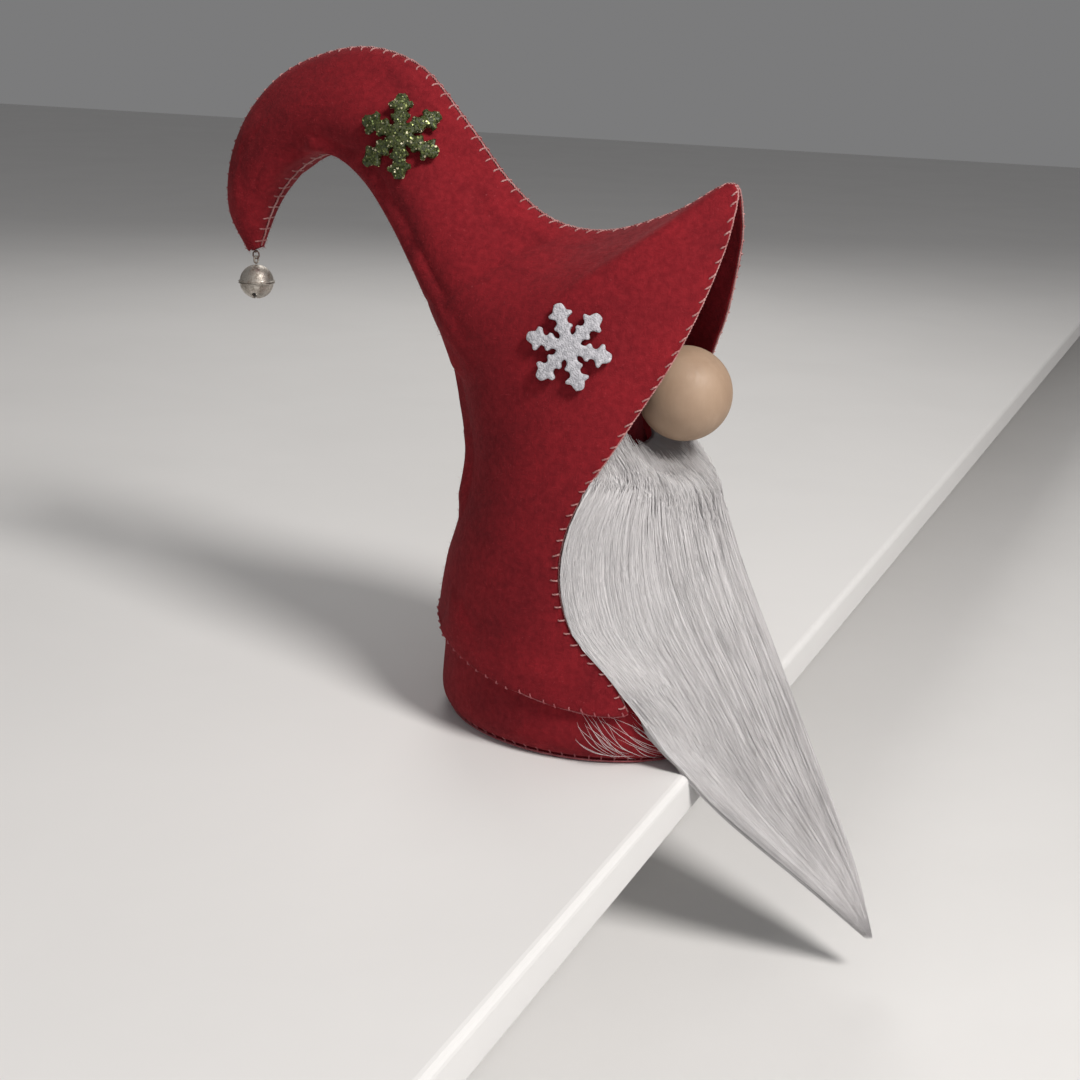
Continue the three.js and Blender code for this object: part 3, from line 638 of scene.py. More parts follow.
def loose_fibre(name, deep, bright, size):
    """Polyester filling or the cloth of the ballast bag."""
    def build(graph, shader, place):
        fibres = apply_effect(graph, FIBRES, place, Scale=size)
        graph.feed(shader.inputs["Base Color"], graph.blend(fibres["Height"], (*deep, 1), (*bright, 1)))
        graph.feed(shader.inputs["Roughness"], graph.ramp(fibres["Height"], -5.0, 1.6))
        bumped(graph, shader, fibres["Height"], 0.8 * MM, 0.7)
    return finish_with(name, build)


def pressed_card():
    def build(graph, shader, place):
        specks = apply_effect(graph, PATCHES, place, Scale=1400.0)["Mask"]
        fibres = apply_effect(graph, FIBRES, place, Scale=1500.0)
        colour = graph.blend(specks, (0.30, 0.20, 0.12, 1), (0.44, 0.32, 0.20, 1))
        graph.feed(shader.inputs["Base Color"], colour)
        graph.feed(shader.inputs["Roughness"], graph.ramp(specks, -6.0, 1.6))
        bumped(graph, shader, fibres["Height"], 0.1 * MM, 0.4)
    return finish_with("pressed_card", build)


def clear_glue():
    def build(graph, shader, place):
        cloud = apply_effect(graph, PATCHES, place, Scale=500.0)["Mask"]
        colour = graph.blend(cloud, (0.62, 0.58, 0.46, 1), (0.76, 0.73, 0.63, 1))
        graph.feed(shader.inputs["Base Color"], colour)
        graph.feed(shader.inputs["Roughness"], graph.ramp(cloud, -1.0, 3.5))
        bumped(graph, shader, cloud, 0.2 * MM, 0.4)
    return finish_with("clear_glue", build)


def white_foam():
    """Closed-cell craft foam with a faint frosted sparkle."""
    def build(graph, shader, place):
        cells = graph.add("ShaderNodeTexVoronoi", {"Vector": place, "Scale": 1500.0}).outputs["Distance"]
        bloom = apply_effect(graph, PATCHES, place, Scale=620.0, Low=0.35, High=0.65)["Mask"]
        colour = graph.blend(bloom, (0.33, 0.325, 0.35, 1), (0.56, 0.55, 0.58, 1))
        graph.feed(shader.inputs["Base Color"], colour)
        graph.feed(shader.inputs["Roughness"], graph.ramp(cells, -1.6, 1.4))
        shader.inputs["Specular IOR Level"].default_value = 0.35
        bumped(graph, shader, graph.ramp(cells, 0.0, 0.7), 0.3 * MM, 0.8)
    return finish_with("white_foam", build)


def green_foam():
    def build(graph, shader, place):
        cells = graph.add("ShaderNodeTexVoronoi", {"Vector": place, "Scale": 1900.0}).outputs["Distance"]
        bloom = apply_effect(graph, PATCHES, place, Scale=380.0)["Mask"]
        colour = graph.blend(bloom, (0.022, 0.030, 0.010, 1), (0.055, 0.066, 0.022, 1))
        graph.feed(shader.inputs["Base Color"], colour)
        graph.feed(shader.inputs["Roughness"], graph.ramp(cells, -0.5, 1.3))
        bumped(graph, shader, cells, 0.2 * MM, 0.7)
    return finish_with("green_foam", build)


def green_glitter():
    """Foil chips from dark olive to pale gold, one tint to a chip."""
    def build(graph, shader, place):
        tint = graph.add("ShaderNodeAttribute", attribute_name="tint").outputs["Fac"]
        grime = apply_effect(graph, PATCHES, place, Scale=900.0)["Mask"]
        colour = graph.blend(graph.ramp(tint, 0.0, 0.9), (0.035, 0.050, 0.012, 1), (0.15, 0.17, 0.06, 1))
        colour = graph.blend(graph.ramp(tint, 0.92, 0.96), colour, (0.80, 0.74, 0.50, 1))
        graph.feed(shader.inputs["Base Color"], colour)
        graph.feed(shader.inputs["Roughness"], graph.ramp(grime, -0.9, 2.4))
        shader.inputs["Metallic"].default_value = 0.75
    return finish_with("green_glitter", build)


def tarnished(name, bright, dark):
    """Thin plated metal gone dull and brown in patches."""
    def build(graph, shader, place):
        stain = apply_effect(graph, PATCHES, place, Scale=330.0, Low=0.36, High=0.62)["Mask"]
        pits = apply_effect(graph, PATCHES, place, Scale=2100.0, Low=0.4, High=0.6)["Mask"]
        worn = graph.math("MULTIPLY", stain, graph.ramp(pits, -0.6, 1.0), clamp=True)
        graph.feed(shader.inputs["Base Color"], graph.blend(worn, (*bright, 1), (*dark, 1)))
        graph.feed(shader.inputs["Roughness"], graph.ramp(worn, -0.9, 1.7))
        graph.feed(shader.inputs["Metallic"], graph.math("SUBTRACT", 1.0, graph.math("MULTIPLY", worn, 0.45)))
        bumped(graph, shader, graph.math("ADD", stain, graph.math("MULTIPLY", pits, 0.4)), 0.12 * MM, 0.5)
    return finish_with(name, build)


def pale_paint():
    def build(graph, shader, place):
        cloud = apply_effect(graph, PATCHES, place, Scale=6.0)["Mask"]
        colour = graph.blend(cloud, (0.70, 0.69, 0.68, 1), (0.72, 0.71, 0.70, 1))
        graph.feed(shader.inputs["Base Color"], colour)
        shader.inputs["Roughness"].default_value = 0.85
    return finish_with("pale_paint", build)


RED_FELT = felt("red_felt", (0.115, 0.005, 0.009), (0.305, 0.012, 0.019), (0.46, 0.11, 0.12))
# The fuzz is the felt's red made lighter: painted sheen on the loose fibres.
FELT_FUZZ_PAINTED_SHEEN = felt("felt_fuzz", (0.26, 0.015, 0.022), (0.46, 0.06, 0.07), (0.60, 0.20, 0.21))
SEAM_YARN = yarn("seam_yarn", (0.32, 0.12, 0.115), (0.66, 0.40, 0.385))
HEM_YARN = yarn("hem_yarn", (0.26, 0.04, 0.05), (0.52, 0.22, 0.22))
DARK_YARN = yarn("dark_yarn", (0.10, 0.06, 0.05), (0.24, 0.16, 0.13))
BALL_WOOD = ball_wood()
LONG_FUR = fur("long_fur", (0.50, 0.48, 0.48), (0.76, 0.74, 0.74))
# The under fur is the long fur's colour darkened: painted shade of the deep pile under the long hairs.
UNDER_FUR_PAINTED_SHADE = fur("under_fur", (0.30, 0.29, 0.29), (0.50, 0.485, 0.485))
KNIT_BACKING = knit()
FIBREFILL = loose_fibre("fibrefill", (0.60, 0.58, 0.54), (0.86, 0.85, 0.82), 260.0)
BALLAST_CLOTH = loose_fibre("ballast_cloth", (0.36, 0.28, 0.18), (0.55, 0.45, 0.31), 1200.0)
PRESSED_CARD = pressed_card()
CLEAR_GLUE = clear_glue()
WHITE_FOAM = white_foam()
GREEN_FOAM = green_foam()
GREEN_GLITTER = green_glitter()
BELL_METAL = tarnished("bell_metal", (0.62, 0.58, 0.52), (0.16, 0.125, 0.095))
PELLET_METAL = tarnished("pellet_metal", (0.45, 0.43, 0.41), (0.10, 0.08, 0.07))
PALE_PAINT = pale_paint()


def stand_for(piece, body, slot, *nodes):
    """The piece rides on a body and takes the place of CAD nodes."""
    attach(piece, body)
    if nodes:
        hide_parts(*nodes)
    return piece


# ---------------------------------------------------------------- felt panels

PANEL_STEP = 2.3         # mm between the rows of a panel
PANEL_COLUMNS = 62
EDGE_STEPS = np.array([0, 0.06, 0.22, 0.48, 0.85, 1.4, 2.1])
EXTRA_CLOTH = 0.012      # share by which the cut is longer than the seams that hold it
MOST_OUT, MOST_IN = 2.4, 0.35

# Soft creases of the right panel: section and share across of both ends, half width and depth in mm.
CREASES = [
    [(10.6, 0.34), (12.9, 0.62), 5.0, 1.5],
    [(12.4, 0.18), (13.9, 0.30), 4.0, 0.9],
    [(7.6, 0.80), (8.6, 0.46), 6.0, 1.3],
    [(8.9, 0.88), (9.8, 0.60), 6.0, 1.1],
    [(3.6, 0.86), (4.2, 0.50), 5.0, 1.0],
    [(15.5, 0.42), (18.8, 0.36), 7.0, 0.9],
    [(15.0, 0.70), (19.0, 0.78), 8.0, 1.0],
]


def bulge(share, lens):
    """Share of a section's full width at a share of its depth."""
    top = lens / (lens + BACK_ROUND)
    peak = top ** lens * (1 - top) ** BACK_ROUND
    return share ** lens * (1 - share) ** BACK_ROUND / peak


def panel_surface(u, v):
    """Outside of the right panel: u (rows) runs from tip to hem and v (rows, columns) from front to back."""
    fields = catmull_rom(PATTERN, u).T[:, :, None]
    front_x, front_z, back_x, back_z, wide, gap, lens, sag = fields
    low = np.zeros_like(gap)
    high = lens / (lens + BACK_ROUND)
    for _ in range(40):
        middle = (low + high) / 2
        narrow = RIDGE + wide * bulge(middle, lens) < gap
        low = np.where(narrow, middle, low)
        high = np.where(narrow, high, middle)
    opening = np.where(gap > RIDGE, low, 0)
    share = opening + (1 - opening) * (1 - np.cos(math.pi * v)) / 2
    whole_x = back_x + (front_x - back_x) / (1 - opening)
    whole_z = back_z + (front_z - back_z) / (1 - opening)
    x = whole_x + (back_x - whole_x) * share
    z = whole_z + (back_z - whole_z) * share - sag * np.sin(math.pi * v)
    y = -(RIDGE + wide * bulge(share, lens))
    return np.stack([x, y, z], axis=-1)


def panel_layout():
    """Rows and columns of the panel spaced by length, with the distances from the front and back edges."""
    fine_u = np.linspace(0, 1, 1500)
    middle = panel_surface(fine_u, np.full((len(fine_u), 1), 0.5))[:, 0]
    along = lengths_along(middle, 0)
    inner = np.arange(EDGE_STEPS[-1] + 1, along[-1] - EDGE_STEPS[-1] - 1, PANEL_STEP)
    at = np.concatenate([EDGE_STEPS, inner, along[-1] - EDGE_STEPS[::-1]])
    u = np.interp(at, along, fine_u)
    fine_v = np.linspace(0, 1, 500)
    across = lengths_along(panel_surface(u, np.tile(fine_v, (len(u), 1))), 1)
    width = across[:, -1]
    edge = EDGE_STEPS[None] * np.minimum(1, width / 14)[:, None]
    count = PANEL_COLUMNS - 2 * len(EDGE_STEPS)
    share = (np.arange(count) + 1) / (count + 1)
    between = edge[:, -1:] + (width[:, None] - 2 * edge[:, -1:]) * share[None]
    distance = np.concatenate([edge, between, width[:, None] - edge[:, ::-1]], axis=1)
    v = np.stack([np.interp(row, line, fine_v) for row, line in zip(distance, across)])
    return u, v, distance, width[:, None] - distance, at, along[-1] - at


def settled(points, seed):
    """The panel's middle layer after cloth simulation: held at its seams, a little slack, and stuffed."""
    coarse = stretched_grid(points, (110, 30))
    rows, columns = coarse.shape[:2]
    skin = Skin()
    ripple = lumps(coarse, 24, seed)[..., None] * grid_normals(coarse) * 0.25
    skin.add(coarse + ripple, grid_faces(rows, columns))
    cloth_piece = skin.make("settling", RED_FELT)
    held = np.zeros((rows, columns), bool)
    held[[0, 1, -1]] = True
    held[:, [0, 1, -2, -1]] = True
    group = cloth_piece.vertex_groups.new(name="held")
    group.add([int(index) for index in np.flatnonzero(held)], 1.0, "REPLACE")
    cloth = cloth_piece.modifiers.new("cloth", "CLOTH")
    settings = cloth.settings
    settings.quality = 6
    settings.mass = 0.25
    settings.tension_stiffness = 18
    settings.compression_stiffness = 14
    settings.shear_stiffness = 8
    settings.bending_stiffness = 1.6
    settings.shrink_min = -EXTRA_CLOTH
    settings.vertex_group_mass = "held"
    settings.use_pressure = True
    settings.uniform_pressure_force = 0.6
    settings.effector_weights.gravity = 0.15
    cloth.collision_settings.use_collision = False
    cloth.point_cache.frame_end = 18
    for step in range(1, 19):
        bpy.context.scene.frame_set(step)
    solved = cloth_piece.evaluated_get(bpy.context.evaluated_depsgraph_get()).to_mesh()
    moved = np.empty(rows * columns * 3)
    solved.vertices.foreach_get("co", moved)
    offset = moved.reshape(rows, columns, 3) / MM - coarse
    bpy.context.scene.frame_set(1)
    bpy.data.objects.remove(cloth_piece, do_unlink=True)
    return points + stretched_grid(offset, points.shape[:2])


def make_panel_layers(seed, creases):
    """Outer and inner layers of the right-hand panel, with the distances from its edges."""
    u, v, from_front, from_back, from_tip, from_hem = panel_layout()
    outside = panel_surface(u, v)
    normals = -grid_normals(outside)
    normals[:, 0] = normals[:, 1]
    normals[:, -1] = normals[:, -2]
    on_seam = 1 - smoothstep(PEAK / LAST, (PEAK + 0.7) / LAST, u)[:, None]
    beside = np.maximum(
        (1 - smoothstep(0.6, 3.2, from_front)) * on_seam,
        1 - smoothstep(0.6, 3.2, from_back),
    )[..., None]
    normals = unit(normals * (1 - beside) + np.array([0, -1.0, 0]) * beside)
    middle = outside - normals * HALF_FELT
    middle[..., 1] = np.minimum(middle[..., 1], -(HALF_FELT + 0.05))

    loose_front = np.maximum(smoothstep(2, 16, from_front), 0.35 * (1 - on_seam))
    freedom = loose_front * smoothstep(2, 14, from_back) * smoothstep(4, 26, from_tip)[:, None]
    offset = ((settled(middle, seed) - middle) * normals).sum(axis=-1)
    offset += 1.1 * lumps(middle, 34, seed) + 0.35 * lumps(middle, 9, seed + 5, 2)
    section = u[:, None] * LAST
    for (start, start_v), (end, end_v), half_width, depth in creases:
        along = np.clip((section - start) / (end - start), -0.2, 1.2)
        centre = start_v + (end_v - start_v) * along
        away = (v - centre) * (from_front + from_back) / half_width
        fade = smoothstep(-0.2, 0.2, along) * (1 - smoothstep(0.8, 1.2, along))
        trough = np.exp(-away ** 2) - 0.55 * np.exp(-(away - 1.7) ** 2)
        offset -= depth * fade * trough
    offset = np.clip(offset, -MOST_IN - 1.2 * (section < 9.5), MOST_OUT)
    middle = middle + normals * (offset * freedom)[..., None]
    middle[..., 1] = np.minimum(middle[..., 1], -(HALF_FELT + 0.05))

    normals = -grid_normals(middle)
    normals = unit(normals * (1 - beside) + np.array([0, -1.0, 0]) * beside)
    edge = np.minimum(np.minimum(from_front, from_back), np.minimum(from_tip, from_hem)[:, None])
    rounding = np.sqrt(1 - (1 - np.clip(edge / HALF_FELT, 0, 1)) ** 2)
    half = (normals * HALF_FELT) * rounding[..., None]
    return middle + half, middle - half, normals


def mirrored(points):
    return points * np.array([1, -1, 1])


RIGHT_OUTER, RIGHT_INNER, RIGHT_NORMALS = make_panel_layers(1, CREASES)
LEFT_OUTER, LEFT_INNER, LEFT_NORMALS = make_panel_layers(2, CREASES[2:])
OUTSIDES = {"right": (RIGHT_OUTER, RIGHT_NORMALS), "left": (LEFT_OUTER, LEFT_NORMALS)}


def make_panels():
    for side, outer, inner in (("right", RIGHT_OUTER, RIGHT_INNER), ("left", LEFT_OUTER, LEFT_INNER)):
        place = mirrored if side == "left" else (lambda points: points)
        panel = felt_between(place(outer), place(inner)).make(f"felt_panel_{side}", RED_FELT, merge=True)
        stand_for(panel, "figure", "red_felt", f"hat_panel_{side}")


# ---------------------------------------------------------------- body bag, base and fillings


def body_at(z):
    """Back, front and half width of the body bag at heights in mm."""
    return tuple(np.interp(z, BODY_RINGS[:, 0], BODY_RINGS[:, column]) for column in (1, 2, 3))


def body_layers():
    """The body bag's outside from its rim to its crown."""
    rows = catmull_rom(BODY_RINGS, np.linspace(0, 1, 90))
    rows[:, 0] = np.maximum.accumulate(rows[:, 0])
    angle = np.linspace(0, 2 * math.pi, 144, endpoint=False)
    z, back, front, half = (rows[:, column][:, None] for column in range(4))
    x = (back + front) / 2 + (front - back) / 2 * np.cos(angle)
    outer = np.stack([x, half * np.sin(angle), np.broadcast_to(z, x.shape)], axis=-1)
    crown = np.array([(-31 - 8) / 2, 0, BODY_TOP])
    share = np.array([0.35, 0.65, 0.88, 0.98])[:, None, None]
    flat = outer[-1] + (crown - outer[-1]) * share
    flat[..., 2] = BODY_RINGS[-1, 0] + (BODY_TOP - BODY_RINGS[-1, 0]) * np.sqrt(1 - (1 - share[..., 0]) ** 2)
    outer = np.concatenate([outer, flat])
    wrapped = np.concatenate([outer[:, -1:], outer, outer[:, :1]], axis=1)
    normals = -grid_normals(wrapped)[:, 1:-1]
    normals *= np.sign((normals * (outer - np.array([0, 0, 60.0]))).sum(axis=-1, keepdims=True))
    fade = smoothstep(6, 26, outer[..., 2])
    outer = outer + normals * (0.45 * lumps(outer, 22, 9) * fade)[..., None]
    inner = outer - normals * FELT
    inner[0, :, 2] = outer[0, :, 2]
    inner[..., 2] = np.maximum(inner[..., 2], outer[0, 0, 2])
    return outer, inner


def make_body():
    outer, inner = body_layers()
    bag = revolved(np.concatenate([inner[::-1], outer])).make("body_bag_felt", RED_FELT, merge=True)
    stand_for(bag, "figure", "red_felt", "body_bag")


def oval_ring(half_deep, half_wide, z, count=160):
    angle = np.linspace(0, 2 * math.pi, count, endpoint=False)
    return np.stack([half_deep * np.cos(angle), half_wide * np.sin(angle), np.full(count, z)], axis=-1)


BASE_HALF_DEEP, BASE_HALF_WIDE = 55.5, 43.5


def make_base():
    """The felt disc under the body, with soft cut edges; the card that keeps it flat is not made here."""
    profile = [
        (12, 0), (3, 0), (1.0, 0), (0.25, 0.16), (0, 0.5),
        (0, 1.1), (0.25, 1.44), (1.0, 1.6), (3, 1.6), (12, 1.6),
    ]
    rings = np.stack([oval_ring(BASE_HALF_DEEP - inset, BASE_HALF_WIDE - inset, z) for inset, z in profile])
    disc = revolved(rings).make("base_disc_felt", RED_FELT)
    stand_for(disc, "figure", "red_felt", "base_disc")


def make_filling(node, name, material, slot, voxel, sink):
    """Soft filling inside a CAD solid: its surface again, finer, sunk in by uneven lumps."""
    piece = bpy.data.objects.new(name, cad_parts[node].data.copy())
    bpy.context.collection.objects.link(piece)
    remesh = piece.modifiers.new("remesh", "REMESH")
    remesh.mode = "VOXEL"
    remesh.voxel_size = voxel * MM
    smooth = piece.modifiers.new("smooth", "SMOOTH")
    smooth.iterations = 4
    solved = bpy.data.meshes.new_from_object(piece.evaluated_get(bpy.context.evaluated_depsgraph_get()))
    piece.modifiers.clear()
    piece.data = solved
    count = len(solved.vertices)
    points, normals = np.empty(count * 3), np.empty(count * 3)
    solved.vertices.foreach_get("co", points)
    solved.vertices.foreach_get("normal", normals)
    points = points.reshape(-1, 3)
    depth = (lumps(points / MM, 14, 3) * 0.5 + 0.5).clip(0, 1) * sink * MM
    solved.vertices.foreach_set("co", (points - normals.reshape(-1, 3) * depth[:, None]).ravel())
    solved.polygons.foreach_set("use_smooth", np.ones(len(solved.polygons), bool))
    solved.materials.clear()
    solved.materials.append(material)
    solved.update()
    stand_for(piece, "figure", slot, node)


# ---------------------------------------------------------------- felt fuzz

FUZZ_FIBRES = 5200
FUZZ_STEPS = 4


def make_fuzz(side, seed):
    """Short loose wool fibres standing off the felt, coloured lighter than the felt as painted sheen."""
    rng = np.random.default_rng(seed)
    points, normals = OUTSIDES[side]
    rows, columns = points.shape[:2]
    row = rng.uniform(1, rows - 2, FUZZ_FIBRES)
    column = rng.uniform(1, columns - 2, FUZZ_FIBRES)
    low_row, low_column = row.astype(int), column.astype(int)
    share = (row - low_row)[:, None]
    root = points[low_row, low_column] * (1 - share) + points[low_row + 1, low_column] * share
    aside = (column - low_column)[:, None]
    root = root + (points[low_row, low_column + 1] - points[low_row, low_column]) * aside
    up = normals[low_row, low_column]
    lean = unit(rng.normal(size=(FUZZ_FIBRES, 3)))
    curl = unit(rng.normal(size=(FUZZ_FIBRES, 3)))
    length = rng.uniform(0.5, 1.7, FUZZ_FIBRES)[:, None, None]
    t = np.linspace(0, 1, FUZZ_STEPS)[None, :, None]
    way = unit(up * 0.55 + lean * 0.8)[:, None]
    lines = root[:, None] - up[:, None] * 0.12 + length * (way * t + curl[:, None] * 0.35 * t ** 2)
    radii = np.array([0.032, 0.030, 0.024, 0.010])[None]
    if side == "left":
        lines = mirrored(lines)
    skin = Skin()
    add_tubes(skin, lines, radii, 3)
    fuzz = skin.make(f"felt_fuzz_{side}", FELT_FUZZ_PAINTED_SHEEN)
    hair_map(fuzz, FUZZ_FIBRES, FUZZ_STEPS)
    stand_for(fuzz, "figure", "red_felt")


# ---------------------------------------------------------------- seams and stitches


def strips():
    """Grids that start at a sewn edge and run inwards: name, {side: (points, normals)}."""
    peak_row = int(np.argmin(np.abs(panel_layout()[0] - PEAK / LAST)))
    first = 3
    found = {"front_seam": {}, "back_seam": {}, "opening": {}, "hem": {}}
    for side, (outer, normals) in OUTSIDES.items():
        found["front_seam"][side] = (outer[first:peak_row + 1], normals[first:peak_row + 1])
        found["back_seam"][side] = (outer[first:, ::-1], normals[first:, ::-1])
        found["opening"][side] = (outer[peak_row:], normals[peak_row:])
        hem = outer[::-1].transpose(1, 0, 2), normals[::-1].transpose(1, 0, 2)
        found["hem"][side] = hem
    return found


def along_strip(strip, at):
    """The strip's inward lines at lengths along its edge."""
    points, normals = strip
    length = lengths_along(points[:, 0], 0)
    place = np.interp(at, length, np.arange(len(length)))
    index = np.minimum(place.astype(int), len(length) - 2)
    share = (place - index)[:, None, None]
    reach = min(points.shape[1], 24)
    lines = points[index, :reach] * (1 - share) + points[index + 1, :reach] * share
    across = normals[index, :reach] * (1 - share) + normals[index + 1, :reach] * share
    return lines, unit(across)


def add_legs(skin, lines, normals, starts, leg, rng):
    """Stitch legs from the edge thread over the felt, ending where they dive in."""
    reach = np.array([0.35, 0.9, 1.7, 2.6, 3.4, 3.9, 4.05]) / 3.9 * leg
    lift = np.array([0.55, 0.95, 1.0, 0.9, 0.6, 0.0, -1.6]) * LEG_RADIUS
    slant = rng.normal(0, 0.22, len(lines))
    edge_run = unit(np.gradient(lines[:, 0], axis=0))
    for line, normal, start, run, lean in zip(lines, normals, starts, edge_run, slant):
        inward = lengths_along(line, 0)
        own = reach * rng.uniform(0.88, 1.1)
        points = np.stack([np.interp(own, inward, line[:, axis]) for axis in range(3)], axis=1)
        outward = np.stack([np.interp(own, inward, normal[:, axis]) for axis in range(3)], axis=1)
        points = points + outward * lift[:, None] + run * (lean * own)[:, None] * 0.5
        add_thread(skin, np.vstack([start[None], points]), LEG_RADIUS)


def blanket_stitches(name, group, leg, sides, seed, nodes, seam=False, yarn_finish=SEAM_YARN):
    """Blanket stitches along an edge: a thread on the edge and legs over the felt every pitch."""
    rng = np.random.default_rng(seed)
    skin = Skin()
    lead = group[sides[0]]
    total = lengths_along(lead[0][:, 0], 0)[-1]
    knots = np.arange(STITCH_PITCH / 2, total - 1, STITCH_PITCH)
    knots = knots + rng.normal(0, 0.22, len(knots))
    fine = np.arange(0.2, total, 0.8)
    dip = 0.28 * np.abs(np.cos(math.pi * np.interp(fine, knots, np.arange(len(knots)))))

    def edge_thread(at, sink):
        lines, _ = along_strip(lead, at)
        edge = lines[:, 0].copy()
        inward = unit(lines[:, 5] - lines[:, 0])
        if seam:
            edge[:, 1] = 0
            inward[:, 1] = 0
            inward = unit(inward)
        return edge - inward * (0.32 - sink)[:, None]

    purl = edge_thread(fine, dip)
    place = mirrored if sides[0] == "left" else (lambda points: points)
    add_thread(skin, place(purl), THREAD_RADIUS)
    starts = edge_thread(knots, np.full(len(knots), 0.28))
    for side in sides:
        lines, normals = along_strip(group[side], knots)
        flip = mirrored if side == "left" else (lambda points: points)
        begin = flip(starts) if seam or side == sides[0] else starts
        add_legs(skin, flip(lines), flip(normals), begin, leg, rng)
    stand_for(skin.make(name, yarn_finish), "figure", "thread", *nodes)


def make_stitches():
    found = strips()
    both = ("right", "left")
    for number, seam in enumerate(("front_seam", "back_seam")):
        blanket_stitches(
            f"{seam}_stitches", found[seam], STITCH_LEG, both, 11 + number, [f"{seam}_thread"], seam=True)
    for number, side in enumerate(both):
        blanket_stitches(
            f"opening_stitches_{side}", found["opening"], STITCH_LEG, (side,), 13 + number,
            [f"edge_stitch_{side}"])
        blanket_stitches(
            f"hem_stitches_{side}", found["hem"], HEM_LEG, (side,), 15 + number, [f"hem_stitch_{side}"],
            yarn_finish=HEM_YARN)


def make_base_stitches():
    """Small stitches that join the base disc to the body bag all round."""
    rng = np.random.default_rng(17)
    skin = Skin()
    round_rim = oval_ring(BASE_HALF_DEEP + 0.45, BASE_HALF_WIDE + 0.45, 1.0, 320)
    round_rim = np.vstack([round_rim, round_rim[:1]])
    add_thread(skin, round_rim, THREAD_RADIUS)
    length = lengths_along(round_rim, 0)
    for at in np.arange(2, length[-1] - 1, STITCH_PITCH):
        at += rng.normal(0, 0.2)
        start = np.array([np.interp(at, length, round_rim[:, axis]) for axis in range(3)])
        angle = math.atan2(start[1] / BASE_HALF_WIDE, start[0] / BASE_HALF_DEEP)
        heights = np.array([1.6, 2.3, 3.0, 3.6, 3.9])
        lift = np.array([0.45, 0.35, 0.3, 0.1, -0.6])
        back, front, half = body_at(heights)
        x = (back + front) / 2 + ((front - back) / 2 + lift) * math.cos(angle)
        y = (half + lift) * math.sin(angle)
        add_thread(skin, np.vstack([start[None], np.stack([x, y, heights], axis=1)]), LEG_RADIUS)
    stand_for(skin.make("base_seam_stitches", HEM_YARN), "figure", "thread", "base_seam_thread")


# ---------------------------------------------------------------- nose


def make_nose():
    low, high = (np.array(corner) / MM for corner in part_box("nose_ball"))
    middle, radius = (low + high) / 2, (high - low).max() / 2
    polar = np.linspace(0.02, math.pi - 0.02, 90)[:, None]
    angle = np.linspace(0, 2 * math.pi, 160, endpoint=False)[None]
    out = np.stack([
        np.sin(polar) * np.cos(angle), np.sin(polar) * np.sin(angle), np.cos(polar) * np.ones_like(angle),
    ], axis=-1)
    turned = radius * (1 + 0.004 * lumps(out * 10, 9, 4)) - 0.3
    ball = revolved(middle + out * turned[..., None]).make("nose_ball_turned", BALL_WOOD)
    stand_for(ball, "figure", "nose_wood", "nose_ball")


# ---------------------------------------------------------------- beard


def softened(heights, values, z, reach=7.0):
    """Values at heights with the corners of their table rounded off."""
    order = np.argsort(heights)
    offsets = np.linspace(-reach, reach, 9)
    near = np.minimum(1, (z - heights.min()) / reach).clip(0, 1)[..., None]
    at = z[..., None] + offsets * near
    return np.interp(at, heights[order], values[order]).mean(axis=-1)


CAPE_EDGE = RIGHT_OUTER[:, 0][RIGHT_OUTER[:, 0, 1] < -12][::-1]


def beard_faces(z, a):
    """Back and face of the beard at heights z, for shares a from -1 (right side) to 1 (left side)."""
    half = softened(BEARD_RINGS[:, 0], BEARD_RINGS[:, 2], z)
    front = softened(BEARD_RINGS[:, 0], BEARD_RINGS[:, 1], z)
    angle = a * BEARD_ARC
    round_share = (np.cos(angle) - math.cos(BEARD_ARC)) / (1 - math.cos(BEARD_ARC))
    y = half * np.sin(angle) / math.sin(BEARD_ARC)
    bag_back, bag_front, bag_half = body_at(z)
    bag_half = bag_half + PILE_BACK
    bag_deep = (bag_front - bag_back) / 2 + PILE_BACK
    bag_middle = (bag_front + bag_back) / 2

    def on_bag(side_y):
        return bag_middle + bag_deep * np.sqrt(np.clip(1 - (side_y / bag_half) ** 2, 0, 1))

    inner = softened(HANGING_RINGS[:, 0], HANGING_RINGS[:, 1], z)
    side = softened(HANGING_RINGS[:, 0], HANGING_RINGS[:, 2], z)
    resting = smoothstep(2, 16, z)
    hanging = side + (inner - side) * round_share
    back_x = hanging + (on_bag(y) - hanging) * resting
    side_x = side + (on_bag(np.minimum(half, bag_half * 0.995)) - side) * resting
    face_side = side_x + np.minimum(BEARD_EDGE, half / 3)
    face_x = np.maximum(face_side + (front - face_side) * round_share, back_x + 0.3)
    edge_x = np.interp(z, CAPE_EDGE[:, 2], CAPE_EDGE[:, 0])
    edge_y = -np.interp(z, CAPE_EDGE[:, 2], CAPE_EDGE[:, 1])
    spread = smoothstep(0.4, 1.0, np.abs(a)) * smoothstep(20, 34, z) * (1 - smoothstep(108, 122, z))
    way = np.sign(a) * spread
    back = np.stack([back_x + spread * (edge_x + 0.8 - side_x), y + way * (edge_y - 1.7 - half), z], axis=-1)
    spread_x = face_x + spread * (edge_x + 1.6 - face_side)
    face = np.stack([spread_x, y + way * (edge_y + 1.3 - half), z], axis=-1)
    return back, face


def beard_top(a):
    """Height of the hair's upper edge: lowest under the nose and up beside it."""
    return 117.5 + 16 * smoothstep(0.25, 0.80, np.abs(a))


def groove(z, a, seed):
    """Depth share of the parting between locks: 0 on a lock's crest and 1 in a parting."""
    points = np.stack([a * 9 + 0.25 * np.sin(z / 23 + seed), np.full_like(a, seed * 3.1), z / 95], axis=-1)
    values = np.array([noise.noise(Vector(point)) for point in points.reshape(-1, 3)]).reshape(a.shape)
    return 1 - np.clip(np.abs(values) * 4.2, 0, 1)


